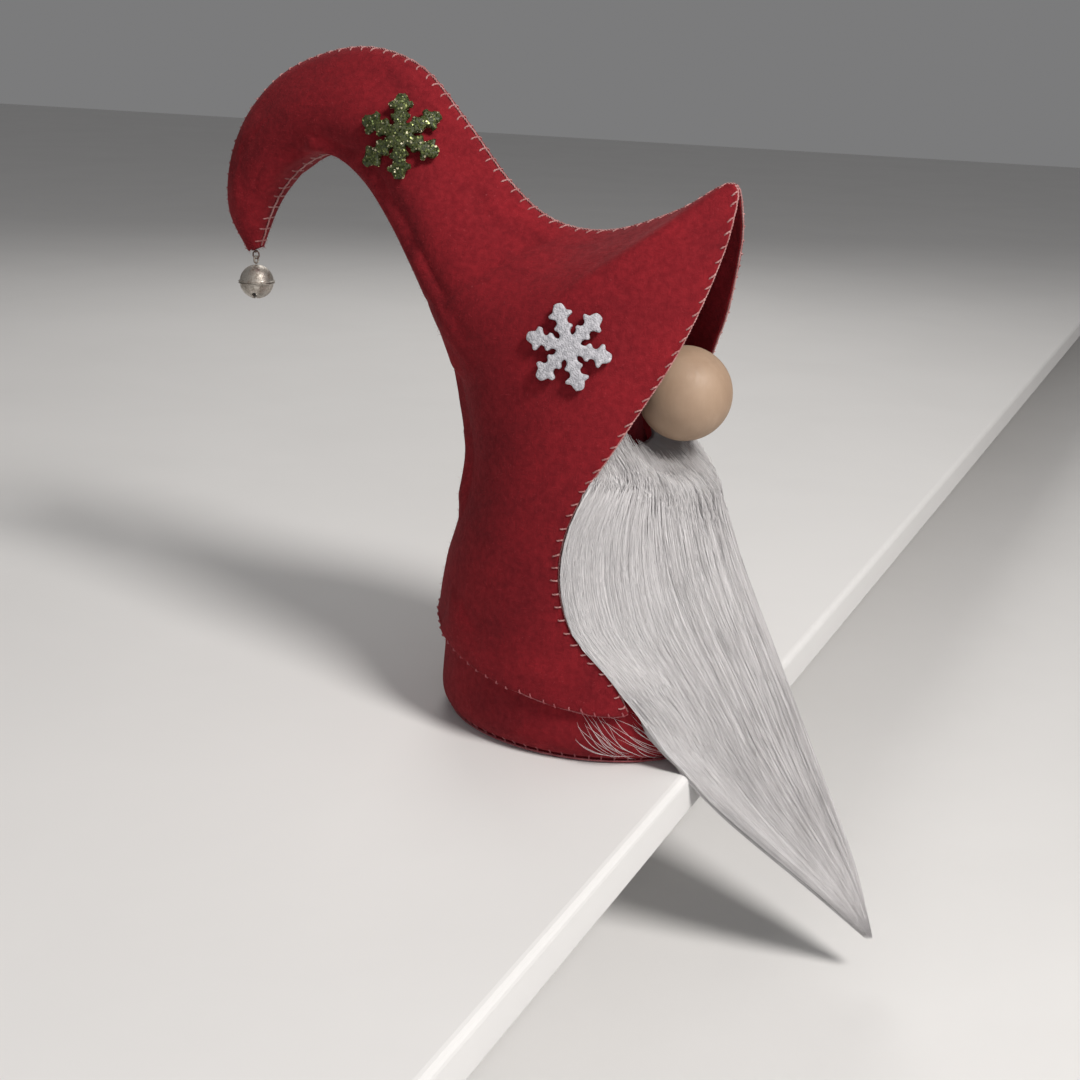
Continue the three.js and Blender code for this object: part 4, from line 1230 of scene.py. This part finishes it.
def make_under_fur():
    """The dense fur under the long hairs: a solid body with partings between its locks, coloured darker than
    the long hair as painted shade.
    """
    down, a = np.meshgrid(np.linspace(0, 1, 150), np.linspace(-1, 1, 90), indexing="ij")
    z = beard_top(a) - 1 - down * (beard_top(a) + 65)
    back, face = beard_faces(z, a)
    depth = np.linalg.norm(face - back, axis=-1, keepdims=True)
    out = unit(face - back + np.array([1e-6, 0, 0]))
    sink = 1.2 + 0.6 * groove(z, a, 1)
    top = smoothstep(0.0, 0.06, down)
    front = back + out * np.maximum(depth[..., 0] * (0.15 + 0.85 * top) - sink, 0.25)[..., None]
    behind = back + out * 0.15
    skin = felt_between(front, behind)
    rows, columns = z.shape
    count = rows * columns
    ends = []
    for row in (0, rows - 1):
        for column in range(columns - 1):
            a0 = row * columns + column
            ends.append([a0, a0 + 1, a0 + 1 + count, a0 + count])
    for column in (0, columns - 1):
        for row in range(rows - 1):
            a0 = row * columns + column
            ends.append([a0, a0 + columns, a0 + columns + count, a0 + count])
    skin.faces.append(np.array(ends))
    piece = skin.make("beard_under_fur", UNDER_FUR_PAINTED_SHADE, merge=True)
    # Tint held low, towards the darker colour: more painted shade.
    tint = piece.data.attributes["tint"].data
    tint.foreach_set("value", np.full(len(tint), 0.35, np.float32))
    join_beard(piece)


def join_beard(piece):
    """Bakes a beard piece's placement into its mesh and hides the CAD beard pile and tail it stands for."""
    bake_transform(piece)
    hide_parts("beard_pile", "beard_tail")


HAIR_STEPS = 12
HAIR_PIECES = 5
HAIRS_PER_PIECE = 2600
LOCKS_PER_PIECE = 210
STRAY_HAIRS = 44


def hair_lines(rng, count, locks):
    """Centre lines, radii and tints of hairs gathered in locks."""
    lock = np.sort(rng.integers(0, locks, count))
    lock_a = np.linspace(-1, 1, locks)[rng.permutation(locks)] + rng.normal(0, 0.01, locks)
    lock_drop = 140 * rng.beta(0.75, 1.9, locks)
    lock_fall = rng.uniform(70, 150, locks)
    lock_wave = rng.normal(0, 1.0, (locks, 3))
    behind = rng.random(locks) < 0.12
    lock_drop = np.where(behind, rng.uniform(106, 146, locks), lock_drop)
    lock_depth = np.where(behind, rng.uniform(-0.02, 0.12, locks), 0.92 + 0.08 * rng.beta(4, 1.6, locks))
    spread = rng.normal(0, 0.07, count)
    top = beard_top(lock_a[lock] + spread) - (lock_drop[lock] + np.abs(rng.normal(0, 5, count)))
    top = top.clip(-50, None)
    end = (top - lock_fall[lock] * rng.uniform(0.75, 1.1, count)).clip(-67.5, None)
    end = end + rng.uniform(0, 9, count) * (end < -60)
    t = np.linspace(0, 1, HAIR_STEPS)[None]
    z = top[:, None] + (end - top)[:, None] * t
    gather = 1 - 0.2 * smoothstep(0.1, 1.0, t)
    wave = lock_wave[lock]
    drift = 0.005 * wave[:, :1] * np.sin(z / 48 + 3 * wave[:, 1:2]) + 0.010 * wave[:, 2:3] * t ** 2
    a = (lock_a[lock][:, None] + spread[:, None] * gather + drift).clip(-1, 1)
    back, face = beard_faces(z, a)
    rise = smoothstep(0, 0.16, t)
    layer = (lock_depth[lock] + rng.normal(0, 0.015, count))[:, None]
    rooted = np.where(layer > 0.4, 0.72 * layer, layer)
    depth = rooted + (layer - rooted) * rise
    lines = back + (face - back) * depth[..., None]
    swells = 0.8 * np.sin(11 * a + z / 60 + 1) + 0.5 * np.sin(23 * a - z / 45 + 2)
    roll = 1.6 * np.exp(-((z - 106) / 7) ** 2) * (1 - a ** 2)
    lines[..., 0] += (swells * smoothstep(-60, -10, z) + roll) * smoothstep(0.4, 0.8, layer) * rise
    lines[..., 2] += rng.normal(0, 0.3, (count, 1))
    size = rng.uniform(0.085, 0.145, count)[:, None]
    radii = size * np.minimum(1, 0.35 + 4 * t) * np.minimum(1, 0.16 + 2.6 * (1 - t))
    tint = (0.55 + 0.10 * rng.normal(size=locks)[lock] + 0.20 * rng.normal(size=count)).clip(0, 1)
    return lines, radii, tint


def stray_hairs(rng, count):
    """Single hairs that have strayed from the beard over the body below the cape's corners."""
    def between(low, high):
        return rng.uniform(low, high, count)[:, None]

    t = np.linspace(0, 1, HAIR_STEPS)[None]
    x = between(17, 37) + between(9, 24) * t ** between(0.7, 1.3)
    top = between(10, 25)
    z = top + (between(2.5, 7) - top) * t + between(-1.5, 1.5) * np.sin(math.pi * t)
    back, front, half = body_at(z)
    aside = np.clip((2 * x - front - back) / (front - back), -1, 1)
    y = half * np.sqrt(1 - aside ** 2) + 0.7 + between(0.3, 2.6) * np.sin(math.pi * t) + 0.8 * t
    y = y * np.where(rng.random(count) < 0.6, -1, 1)[:, None]
    radii = between(0.06, 0.10) * np.minimum(1, 0.3 + 2.5 * t) * np.minimum(1, 0.3 + 2.5 * (1 - t))
    return np.stack([x, y, z], axis=-1), radii, rng.uniform(0.3, 0.9, count)


def hair_map(piece, count, steps):
    """A texture map with a narrow upright strip for each hair."""
    layer = piece.data.uv_layers.new(name="OFBake")
    corner_vertex = np.empty(len(piece.data.loops), int)
    piece.data.loops.foreach_get("vertex_index", corner_vertex)
    hair, within = np.divmod(corner_vertex, steps * 3)
    step, side = np.divmod(within, 3)
    columns = math.ceil(math.sqrt(count) * 2.2)
    rows = math.ceil(count / columns)
    u = (hair % columns + 0.15 + 0.35 * side) / columns
    v = (hair // columns + 0.04 + 0.92 * step / (steps - 1)) / rows
    layer.uv.foreach_set("vector", np.stack([u, v], axis=1).astype(np.float32).ravel())


def make_long_hair():
    rng = np.random.default_rng(23)
    for number in range(HAIR_PIECES):
        made = [hair_lines(rng, HAIRS_PER_PIECE, LOCKS_PER_PIECE)]
        if number == HAIR_PIECES - 1:
            made.append(stray_hairs(rng, STRAY_HAIRS))
        lines, radii, tint = (np.concatenate(parts) for parts in zip(*made))
        skin = Skin()
        add_tubes(skin, lines, radii, 3, tint)
        piece = skin.make(f"beard_hair_{number + 1}", LONG_FUR)
        hair_map(piece, len(lines), HAIR_STEPS)
        join_beard(piece)


def make_backing():
    """The knitted backing that the fur grows from, glued round the body's front."""
    z, a = np.meshgrid(np.linspace(112, 25, 60), np.linspace(-0.96, 0.96, 60), indexing="ij")
    back, _ = beard_faces(z, a)
    bag = unit(back - np.stack([np.full_like(z, -10.0), np.zeros_like(z), z], axis=-1))
    outer = back - bag * (PILE_BACK - BACKING_FRONT)
    inner = outer - bag * 1.1
    outer[[0, -1]] = inner[[0, -1]] = (outer[[0, -1]] + inner[[0, -1]]) / 2
    outer[:, [0, -1]] = inner[:, [0, -1]] = (outer[:, [0, -1]] + inner[:, [0, -1]]) / 2
    piece = felt_between(outer, inner).make("beard_backing_knit", KNIT_BACKING, merge=True)
    stand_for(piece, "figure", "knit_backing", "beard_backing")


# ---------------------------------------------------------------- snowflakes


def flake_outline():
    """Closed outline of the snowflake in millimetres."""
    arm = [(r, -w) for r, w in FLAKE_ARM] + [(1.0, 0.0)] + [(r, w) for r, w in reversed(FLAKE_ARM)]
    points = []
    for turn in range(6):
        angle = turn * math.pi / 3
        for r, w in arm:
            c, s = math.cos(angle), math.sin(angle)
            points.append((r * c - w * s, r * s + w * c))
    return np.array(points) * FLAKE_DIAMETER / 2


def flake_mesh():
    """The snowflake lying flat: cut from foam, with soft swollen edges."""
    outline = flake_outline()
    count = len(outline)
    cut = bmesh.new()
    layers = [
        [cut.verts.new((x * MM, y * MM, side * FLAKE_THICKNESS / 2 * MM)) for x, y in outline]
        for side in (-1, 1)
    ]
    cut.faces.new(layers[0][::-1])
    cut.faces.new(layers[1])
    for i in range(count):
        after = (i + 1) % count
        cut.faces.new((layers[0][i], layers[0][after], layers[1][after], layers[1][i]))
    flat = bpy.data.meshes.new("flake_cut")
    cut.to_mesh(flat)
    cut.free()
    piece = bpy.data.objects.new("flake_cut", flat)
    bpy.context.collection.objects.link(piece)
    remesh = piece.modifiers.new("remesh", "REMESH")
    remesh.mode = "VOXEL"
    remesh.voxel_size = 0.34 * MM
    smooth = piece.modifiers.new("smooth", "SMOOTH")
    smooth.iterations = 7
    smooth.factor = 0.6
    mesh = bpy.data.meshes.new_from_object(piece.evaluated_get(bpy.context.evaluated_depsgraph_get()))
    bpy.data.objects.remove(piece, do_unlink=True)
    return mesh


TIP_SPAN = 5.5            # wider than an arm's blunt tip


def seat_of(node):
    """Middle of a CAD snowflake, its way out from the felt and two directions along it."""
    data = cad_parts[node].data
    points = np.empty(len(data.vertices) * 3)
    data.vertices.foreach_get("co", points)
    points = points.reshape(-1, 3) / MM
    middle = points.mean(axis=0)
    spread = np.linalg.eigh(np.cov((points - middle).T))[1]
    out = spread[:, 0] * -np.sign(spread[1, 0])
    reach = np.linalg.norm(points - middle, axis=1)
    near_farthest = np.linalg.norm(points - points[np.argmax(reach)], axis=1) < TIP_SPAN
    tip = points[near_farthest & (reach > 0.95 * reach.max())]
    arm = (tip.min(axis=0) + tip.max(axis=0)) / 2 - middle
    along = unit(arm - out * (arm @ out))
    return middle, out, along, np.cross(out, along)


def on_felt(middle, out, along, beside, flat):
    """Where flat points (mm) lie when the snowflake is pressed onto the felt, and the ways out there."""
    panel = bpy.data.objects["felt_panel_right"].data
    tree = BVHTree.FromPolygons([v.co / MM for v in panel.vertices], [p.vertices for p in panel.polygons])
    grid = np.stack(np.meshgrid(np.linspace(-16, 16, 13), np.linspace(-16, 16, 13)), axis=-1).reshape(-1, 2)
    grid = grid[np.linalg.norm(grid, axis=1) < 17]
    heights = []
    for x, y in grid:
        above = middle + along * x + beside * y + out * 20
        hit = tree.ray_cast(Vector(above), Vector(-out), 60)
        heights.append(20 - hit[3] if hit[0] is not None else np.nan)
    heights = np.array(heights)
    known = ~np.isnan(heights)

    def terms(p):
        x, y = p[:, 0], p[:, 1]
        return np.stack([np.ones(len(p)), x, y, x ** 2, x * y, y ** 2], axis=1)

    fit = np.linalg.lstsq(terms(grid[known]), heights[known], rcond=None)[0]
    slack = (heights[known] - terms(grid[known]) @ fit).max()
    x, y = flat[:, 0], flat[:, 1]
    slope_x = fit[1] + 2 * fit[3] * x + fit[4] * y
    slope_y = fit[2] + fit[4] * x + 2 * fit[5] * y
    ways = unit(out[None] - along[None] * slope_x[:, None] - beside[None] * slope_y[:, None])
    ground = middle + along * x[:, None] + beside * y[:, None]
    ground = ground + out * (terms(flat) @ fit + min(slack, 1.0) * 0.6)[:, None]
    return ground, ways


def make_snowflake(name, node, material, slot):
    middle, out, along, beside = seat_of(node)
    mesh = flake_mesh()
    count = len(mesh.vertices)
    flat = np.empty(count * 3)
    mesh.vertices.foreach_get("co", flat)
    flat = flat.reshape(-1, 3) / MM
    ground, ways = on_felt(middle, out, along, beside, flat[:, :2])
    lift = FLAKE_LIFT + flat[:, 2] + FLAKE_THICKNESS / 2
    mesh.vertices.foreach_set("co", ((ground + ways * lift[:, None]) * MM).ravel())
    mesh.polygons.foreach_set("use_smooth", np.ones(len(mesh.polygons), bool))
    mesh.materials.clear()
    mesh.materials.append(material)
    mesh.update()
    piece = bpy.data.objects.new(name, mesh)
    bpy.context.collection.objects.link(piece)
    stand_for(piece, "figure", slot, node)
    return piece


def make_glitter(flake):
    """Small six-sided foil chips glued all over the green snowflake."""
    rng = np.random.default_rng(31)
    mesh = flake.data
    count = len(mesh.polygons)
    centres, normals, areas = np.empty(count * 3), np.empty(count * 3), np.empty(count)
    mesh.polygons.foreach_get("center", centres)
    mesh.polygons.foreach_get("normal", normals)
    mesh.polygons.foreach_get("area", areas)
    centres, normals = centres.reshape(-1, 3) / MM, normals.reshape(-1, 3)
    out = seat_of("snowflake_green")[1]
    shown = normals @ out > -0.2
    chosen = rng.choice(np.flatnonzero(shown), 1500, p=areas[shown] / areas[shown].sum())
    tilt = unit(normals[chosen] + rng.normal(0, 0.33, (1500, 3)))
    first = unit(np.cross(tilt, rng.normal(size=(1500, 3))))
    second = np.cross(tilt, first)
    size = rng.uniform(0.26, 0.5, (1500, 1, 1))
    angle = np.arange(6) * math.pi / 3
    ring = first[:, None] * np.cos(angle)[None, :, None] + second[:, None] * np.sin(angle)[None, :, None]
    top = centres[chosen][:, None] + (tilt * 0.16)[:, None] + ring * size
    points = np.concatenate([top, top - (tilt * 0.07)[:, None]], axis=1)
    starts = (np.arange(1500) * 12)[:, None, None]
    cap = np.array([[0, 1, 2, 3], [0, 3, 4, 5]])
    wall = np.array([[i, i + 6, (i + 1) % 6 + 6, (i + 1) % 6] for i in range(6)])
    faces = np.concatenate([cap, cap[:, ::-1] + 6, wall])
    skin = Skin()
    skin.add(points, (starts + faces[None]).reshape(-1, 4), tint=np.repeat(rng.random(1500), 12))
    chips = skin.make("snowflake_green_glitter", GREEN_GLITTER)
    chips.data.polygons.foreach_set("use_smooth", np.zeros(len(chips.data.polygons), bool))
    stand_for(chips, "figure", "green_glitter")


# ---------------------------------------------------------------- bell


def lathe(profile, middle, count=72):
    """A closed skin turned round the upright line through middle: profile of (radius, height) in mm."""
    angle = np.linspace(0, 2 * math.pi, count, endpoint=False)
    rings = [
        np.stack([r * np.cos(angle), r * np.sin(angle), np.full(count, h)], axis=-1) + middle
        for r, h in profile
    ]
    return revolved(np.array(rings))


def bell_middle():
    """Middle of the bell from its two half shells."""
    low = np.array(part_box("bell_lower")[0]) / MM
    high = np.array(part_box("bell_upper")[1]) / MM
    return (low + high) / 2


def shell_profile(pole):
    """Half shell from its outer pole to its rim and back inside, with a crimped rim."""
    outer, inner = BELL_RADIUS, BELL_RADIUS - BELL_WALL
    rise = np.linspace(math.pi / 2 - 0.02, 0.10, 26)
    outside = [(outer * math.cos(angle), pole * outer * math.sin(angle)) for angle in rise]
    rim = [
        (outer + BELL_RIM * 0.7, pole * 0.55),
        (outer + BELL_RIM, pole * 0.35),
        (outer + BELL_RIM * 0.8, pole * 0.12),
        (inner + 0.1, pole * 0.10),
    ]
    inside = [(inner * math.cos(angle), pole * inner * math.sin(angle)) for angle in rise[::-1]]
    return outside + rim + inside


def slot_cutter(middle, turn):
    """A long round-ended slot through the bottom of the bell."""
    box = bmesh.new()
    bmesh.ops.create_cube(box, size=1)
    bmesh.ops.scale(box, vec=Vector((9.6, BELL_SLOT, 8)) * MM, verts=box.verts)
    for end in (-1, 1):
        round_end = bmesh.ops.create_cone(
            box, segments=20, radius1=1.0 * MM, radius2=1.0 * MM, depth=8 * MM, cap_ends=True)
        bmesh.ops.translate(box, vec=(end * 4.8 * MM, 0, 0), verts=round_end["verts"])
    mesh = bpy.data.meshes.new("slot_cutter")
    box.to_mesh(mesh)
    box.free()
    cutter = bpy.data.objects.new("slot_cutter", mesh)
    bpy.context.collection.objects.link(cutter)
    place = Vector(middle * MM) + Vector((0, 0, -6.6 * MM))
    cutter.matrix_world = Matrix.Translation(place) @ Matrix.Rotation(turn, 4, "Z")
    return cutter


def make_bell():
    middle = bell_middle()
    upper = lathe(shell_profile(1), middle).make("bell_upper_shell", BELL_METAL, merge=True)
    stand_for(upper, "bell", "bell_metal", "bell_upper")
    lower = lathe(shell_profile(-1), middle).make("bell_lower_shell", BELL_METAL, merge=True)
    for turn in (0.4, 0.4 + math.pi / 2):
        cutter = slot_cutter(middle, turn)
        cut = lower.modifiers.new("slot", "BOOLEAN")
        cut.operation = "DIFFERENCE"
        cut.solver = "EXACT"
        cut.use_self = True
        cut.object = cutter
        solved = bpy.data.meshes.new_from_object(lower.evaluated_get(bpy.context.evaluated_depsgraph_get()))
        lower.modifiers.clear()
        lower.data = solved
        bpy.data.objects.remove(cutter, do_unlink=True)
    stand_for(lower, "bell", "bell_metal", "bell_lower")

    low, high = (np.array(corner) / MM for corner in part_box("bell_pellet"))
    polar = np.linspace(0.05, math.pi - 0.05, 20)
    radius = (high - low).max() / 2
    pellet = lathe([(radius * math.sin(p), radius * math.cos(p)) for p in polar], (low + high) / 2, 32)
    stand_for(pellet.make("bell_pellet_ball", PELLET_METAL), "pellet", "pellet_metal", "bell_pellet")

    low, high = (np.array(corner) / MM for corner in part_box("bell_eye"))
    centre = (low + high) / 2
    eye_radius = (high[2] - low[2]) / 2 - 0.45
    angle = np.linspace(0, 2 * math.pi, 49)
    wire = np.stack([
        np.full_like(angle, centre[0]),
        centre[1] + eye_radius * np.sin(angle),
        centre[2] + eye_radius * np.cos(angle + math.pi),
    ], axis=1)
    skin = Skin()
    add_tubes(skin, wire[None], 0.42, 10)
    stand_for(skin.make("bell_eye_wire", BELL_METAL), "bell", "bell_metal", "bell_eye")


def make_bell_thread():
    """The doubled thread that the bell hangs on, with its knot under the horn's tip."""
    low, high = (np.array(corner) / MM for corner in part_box("bell_thread"))
    centre = (low + high) / 2
    half_wide = (high[0] - low[0]) / 2 - 0.35
    half_tall = (high[2] - low[2]) / 2 - 0.35
    angle = np.linspace(0, 2 * math.pi, 60)
    skin = Skin()
    for layer in (-0.18, 0.18):
        ring = np.stack([
            centre[0] + half_wide * np.sin(angle),
            np.full_like(angle, centre[1] + layer),
            centre[2] + half_tall * np.cos(angle),
        ], axis=1)
        add_thread(skin, ring, 0.24)
    for turn in range(3):
        wind = np.linspace(0, 2 * math.pi, 40)
        knot = np.stack([
            centre[0] + 0.55 * np.cos(wind),
            centre[1] + 0.5 * np.sin(wind),
            centre[2] + half_tall - 0.5 + 0.28 * turn + 0.1 * np.sin(wind),
        ], axis=1)
        add_thread(skin, knot, 0.2)
    stand_for(skin.make("bell_hanging_thread", DARK_YARN), "bell_loop", "dark_thread", "bell_thread")


# ---------------------------------------------------------------- carried-over CAD nodes


def refinish(node, material):
    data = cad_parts[node].data
    data.materials.clear()
    data.materials.append(material)


# ---------------------------------------------------------------- stage and light

SHELF_EDGE = 0.058
SHELF_THICKNESS = 0.018
FLOOR_Z = -0.085


def make_stage():
    """A pale shelf whose edge the figure sits at, over a pale floor."""
    floor = bpy.data.meshes.new("floor")
    corners = [(-4, -4, FLOOR_Z), (4, -4, FLOOR_Z), (4, 4, FLOOR_Z), (-4, 4, FLOOR_Z)]
    floor.from_pydata(corners, [], [(0, 1, 2, 3)])
    floor.materials.append(PALE_PAINT)
    ground = bpy.data.objects.new("floor", floor)
    shelf_mesh = bpy.data.meshes.new("shelf")
    block = bmesh.new()
    bmesh.ops.create_cube(block, size=1)
    long, wide = 8.0, 8.0
    bmesh.ops.scale(block, vec=(long, wide, SHELF_THICKNESS), verts=block.verts)
    bmesh.ops.translate(block, vec=(SHELF_EDGE - long / 2, 0, -SHELF_THICKNESS / 2), verts=block.verts)
    bmesh.ops.bevel(block, geom=block.edges[:], offset=0.003, segments=4, affect="EDGES", profile=0.5)
    block.to_mesh(shelf_mesh)
    block.free()
    shelf_mesh.materials.append(PALE_PAINT)
    shelf = bpy.data.objects.new("shelf", shelf_mesh)
    for piece in (ground, shelf):
        bpy.context.collection.objects.link(piece)


def area_light(name, place, target, size, power, colour):
    data = bpy.data.lights.new(name, "AREA")
    data.shape = "DISK"
    data.size = size
    data.energy = power
    data.color = colour
    lamp = bpy.data.objects.new(name, data)
    bpy.context.collection.objects.link(lamp)
    way = Vector(target) - Vector(place)
    lamp.matrix_world = Matrix.Translation(place) @ way.to_track_quat("-Z", "Y").to_matrix().to_4x4()


def make_light():
    target = (-0.02, 0, 0.10)
    area_light("key", (0.78, -0.34, 0.98), target, 0.36, 16.0, (1.0, 0.97, 0.94))
    area_light("fill", (0.55, -1.05, 0.28), target, 0.8, 2.2, (0.93, 0.95, 1.0))
    area_light("back", (-0.5, 0.9, 0.9), target, 0.7, 4.0, (1.0, 0.98, 0.95))
    world = bpy.data.worlds.new("pale_room")
    world.use_nodes = True
    background = world.node_tree.nodes["Background"]
    background.inputs["Color"].default_value = (0.90, 0.90, 0.91, 1)
    background.inputs["Strength"].default_value = 0.22
    bpy.context.scene.world = world
    bpy.context.scene.view_settings.view_transform = "Standard"


# ---------------------------------------------------------------- assembly

make_body()
make_panels()
make_base()
make_filling("hat_stuffing", "hat_stuffing_fibre", FIBREFILL, "fibrefill", 1.6, 1.2)
make_filling("body_stuffing", "body_stuffing_fibre", FIBREFILL, "fibrefill", 2.2, 1.6)
make_filling("ballast_bag", "ballast_bag_cloth", BALLAST_CLOTH, "ballast", 1.4, 0.8)
refinish("base_stiffener", PRESSED_CARD)
for glue_node in ("nose_glue", "white_glue", "green_glue"):
    refinish(glue_node, CLEAR_GLUE)
make_stitches()
make_base_stitches()
for number, side in enumerate(OUTSIDES):
    make_fuzz(side, 41 + number)
make_nose()
make_backing()
make_under_fur()
make_long_hair()
make_snowflake("snowflake_white_foam", "snowflake_white", WHITE_FOAM, "white_foam")
make_glitter(make_snowflake("snowflake_green_foam", "snowflake_green", GREEN_FOAM, "green_glitter"))
make_bell()
make_bell_thread()
make_stage()
make_light()
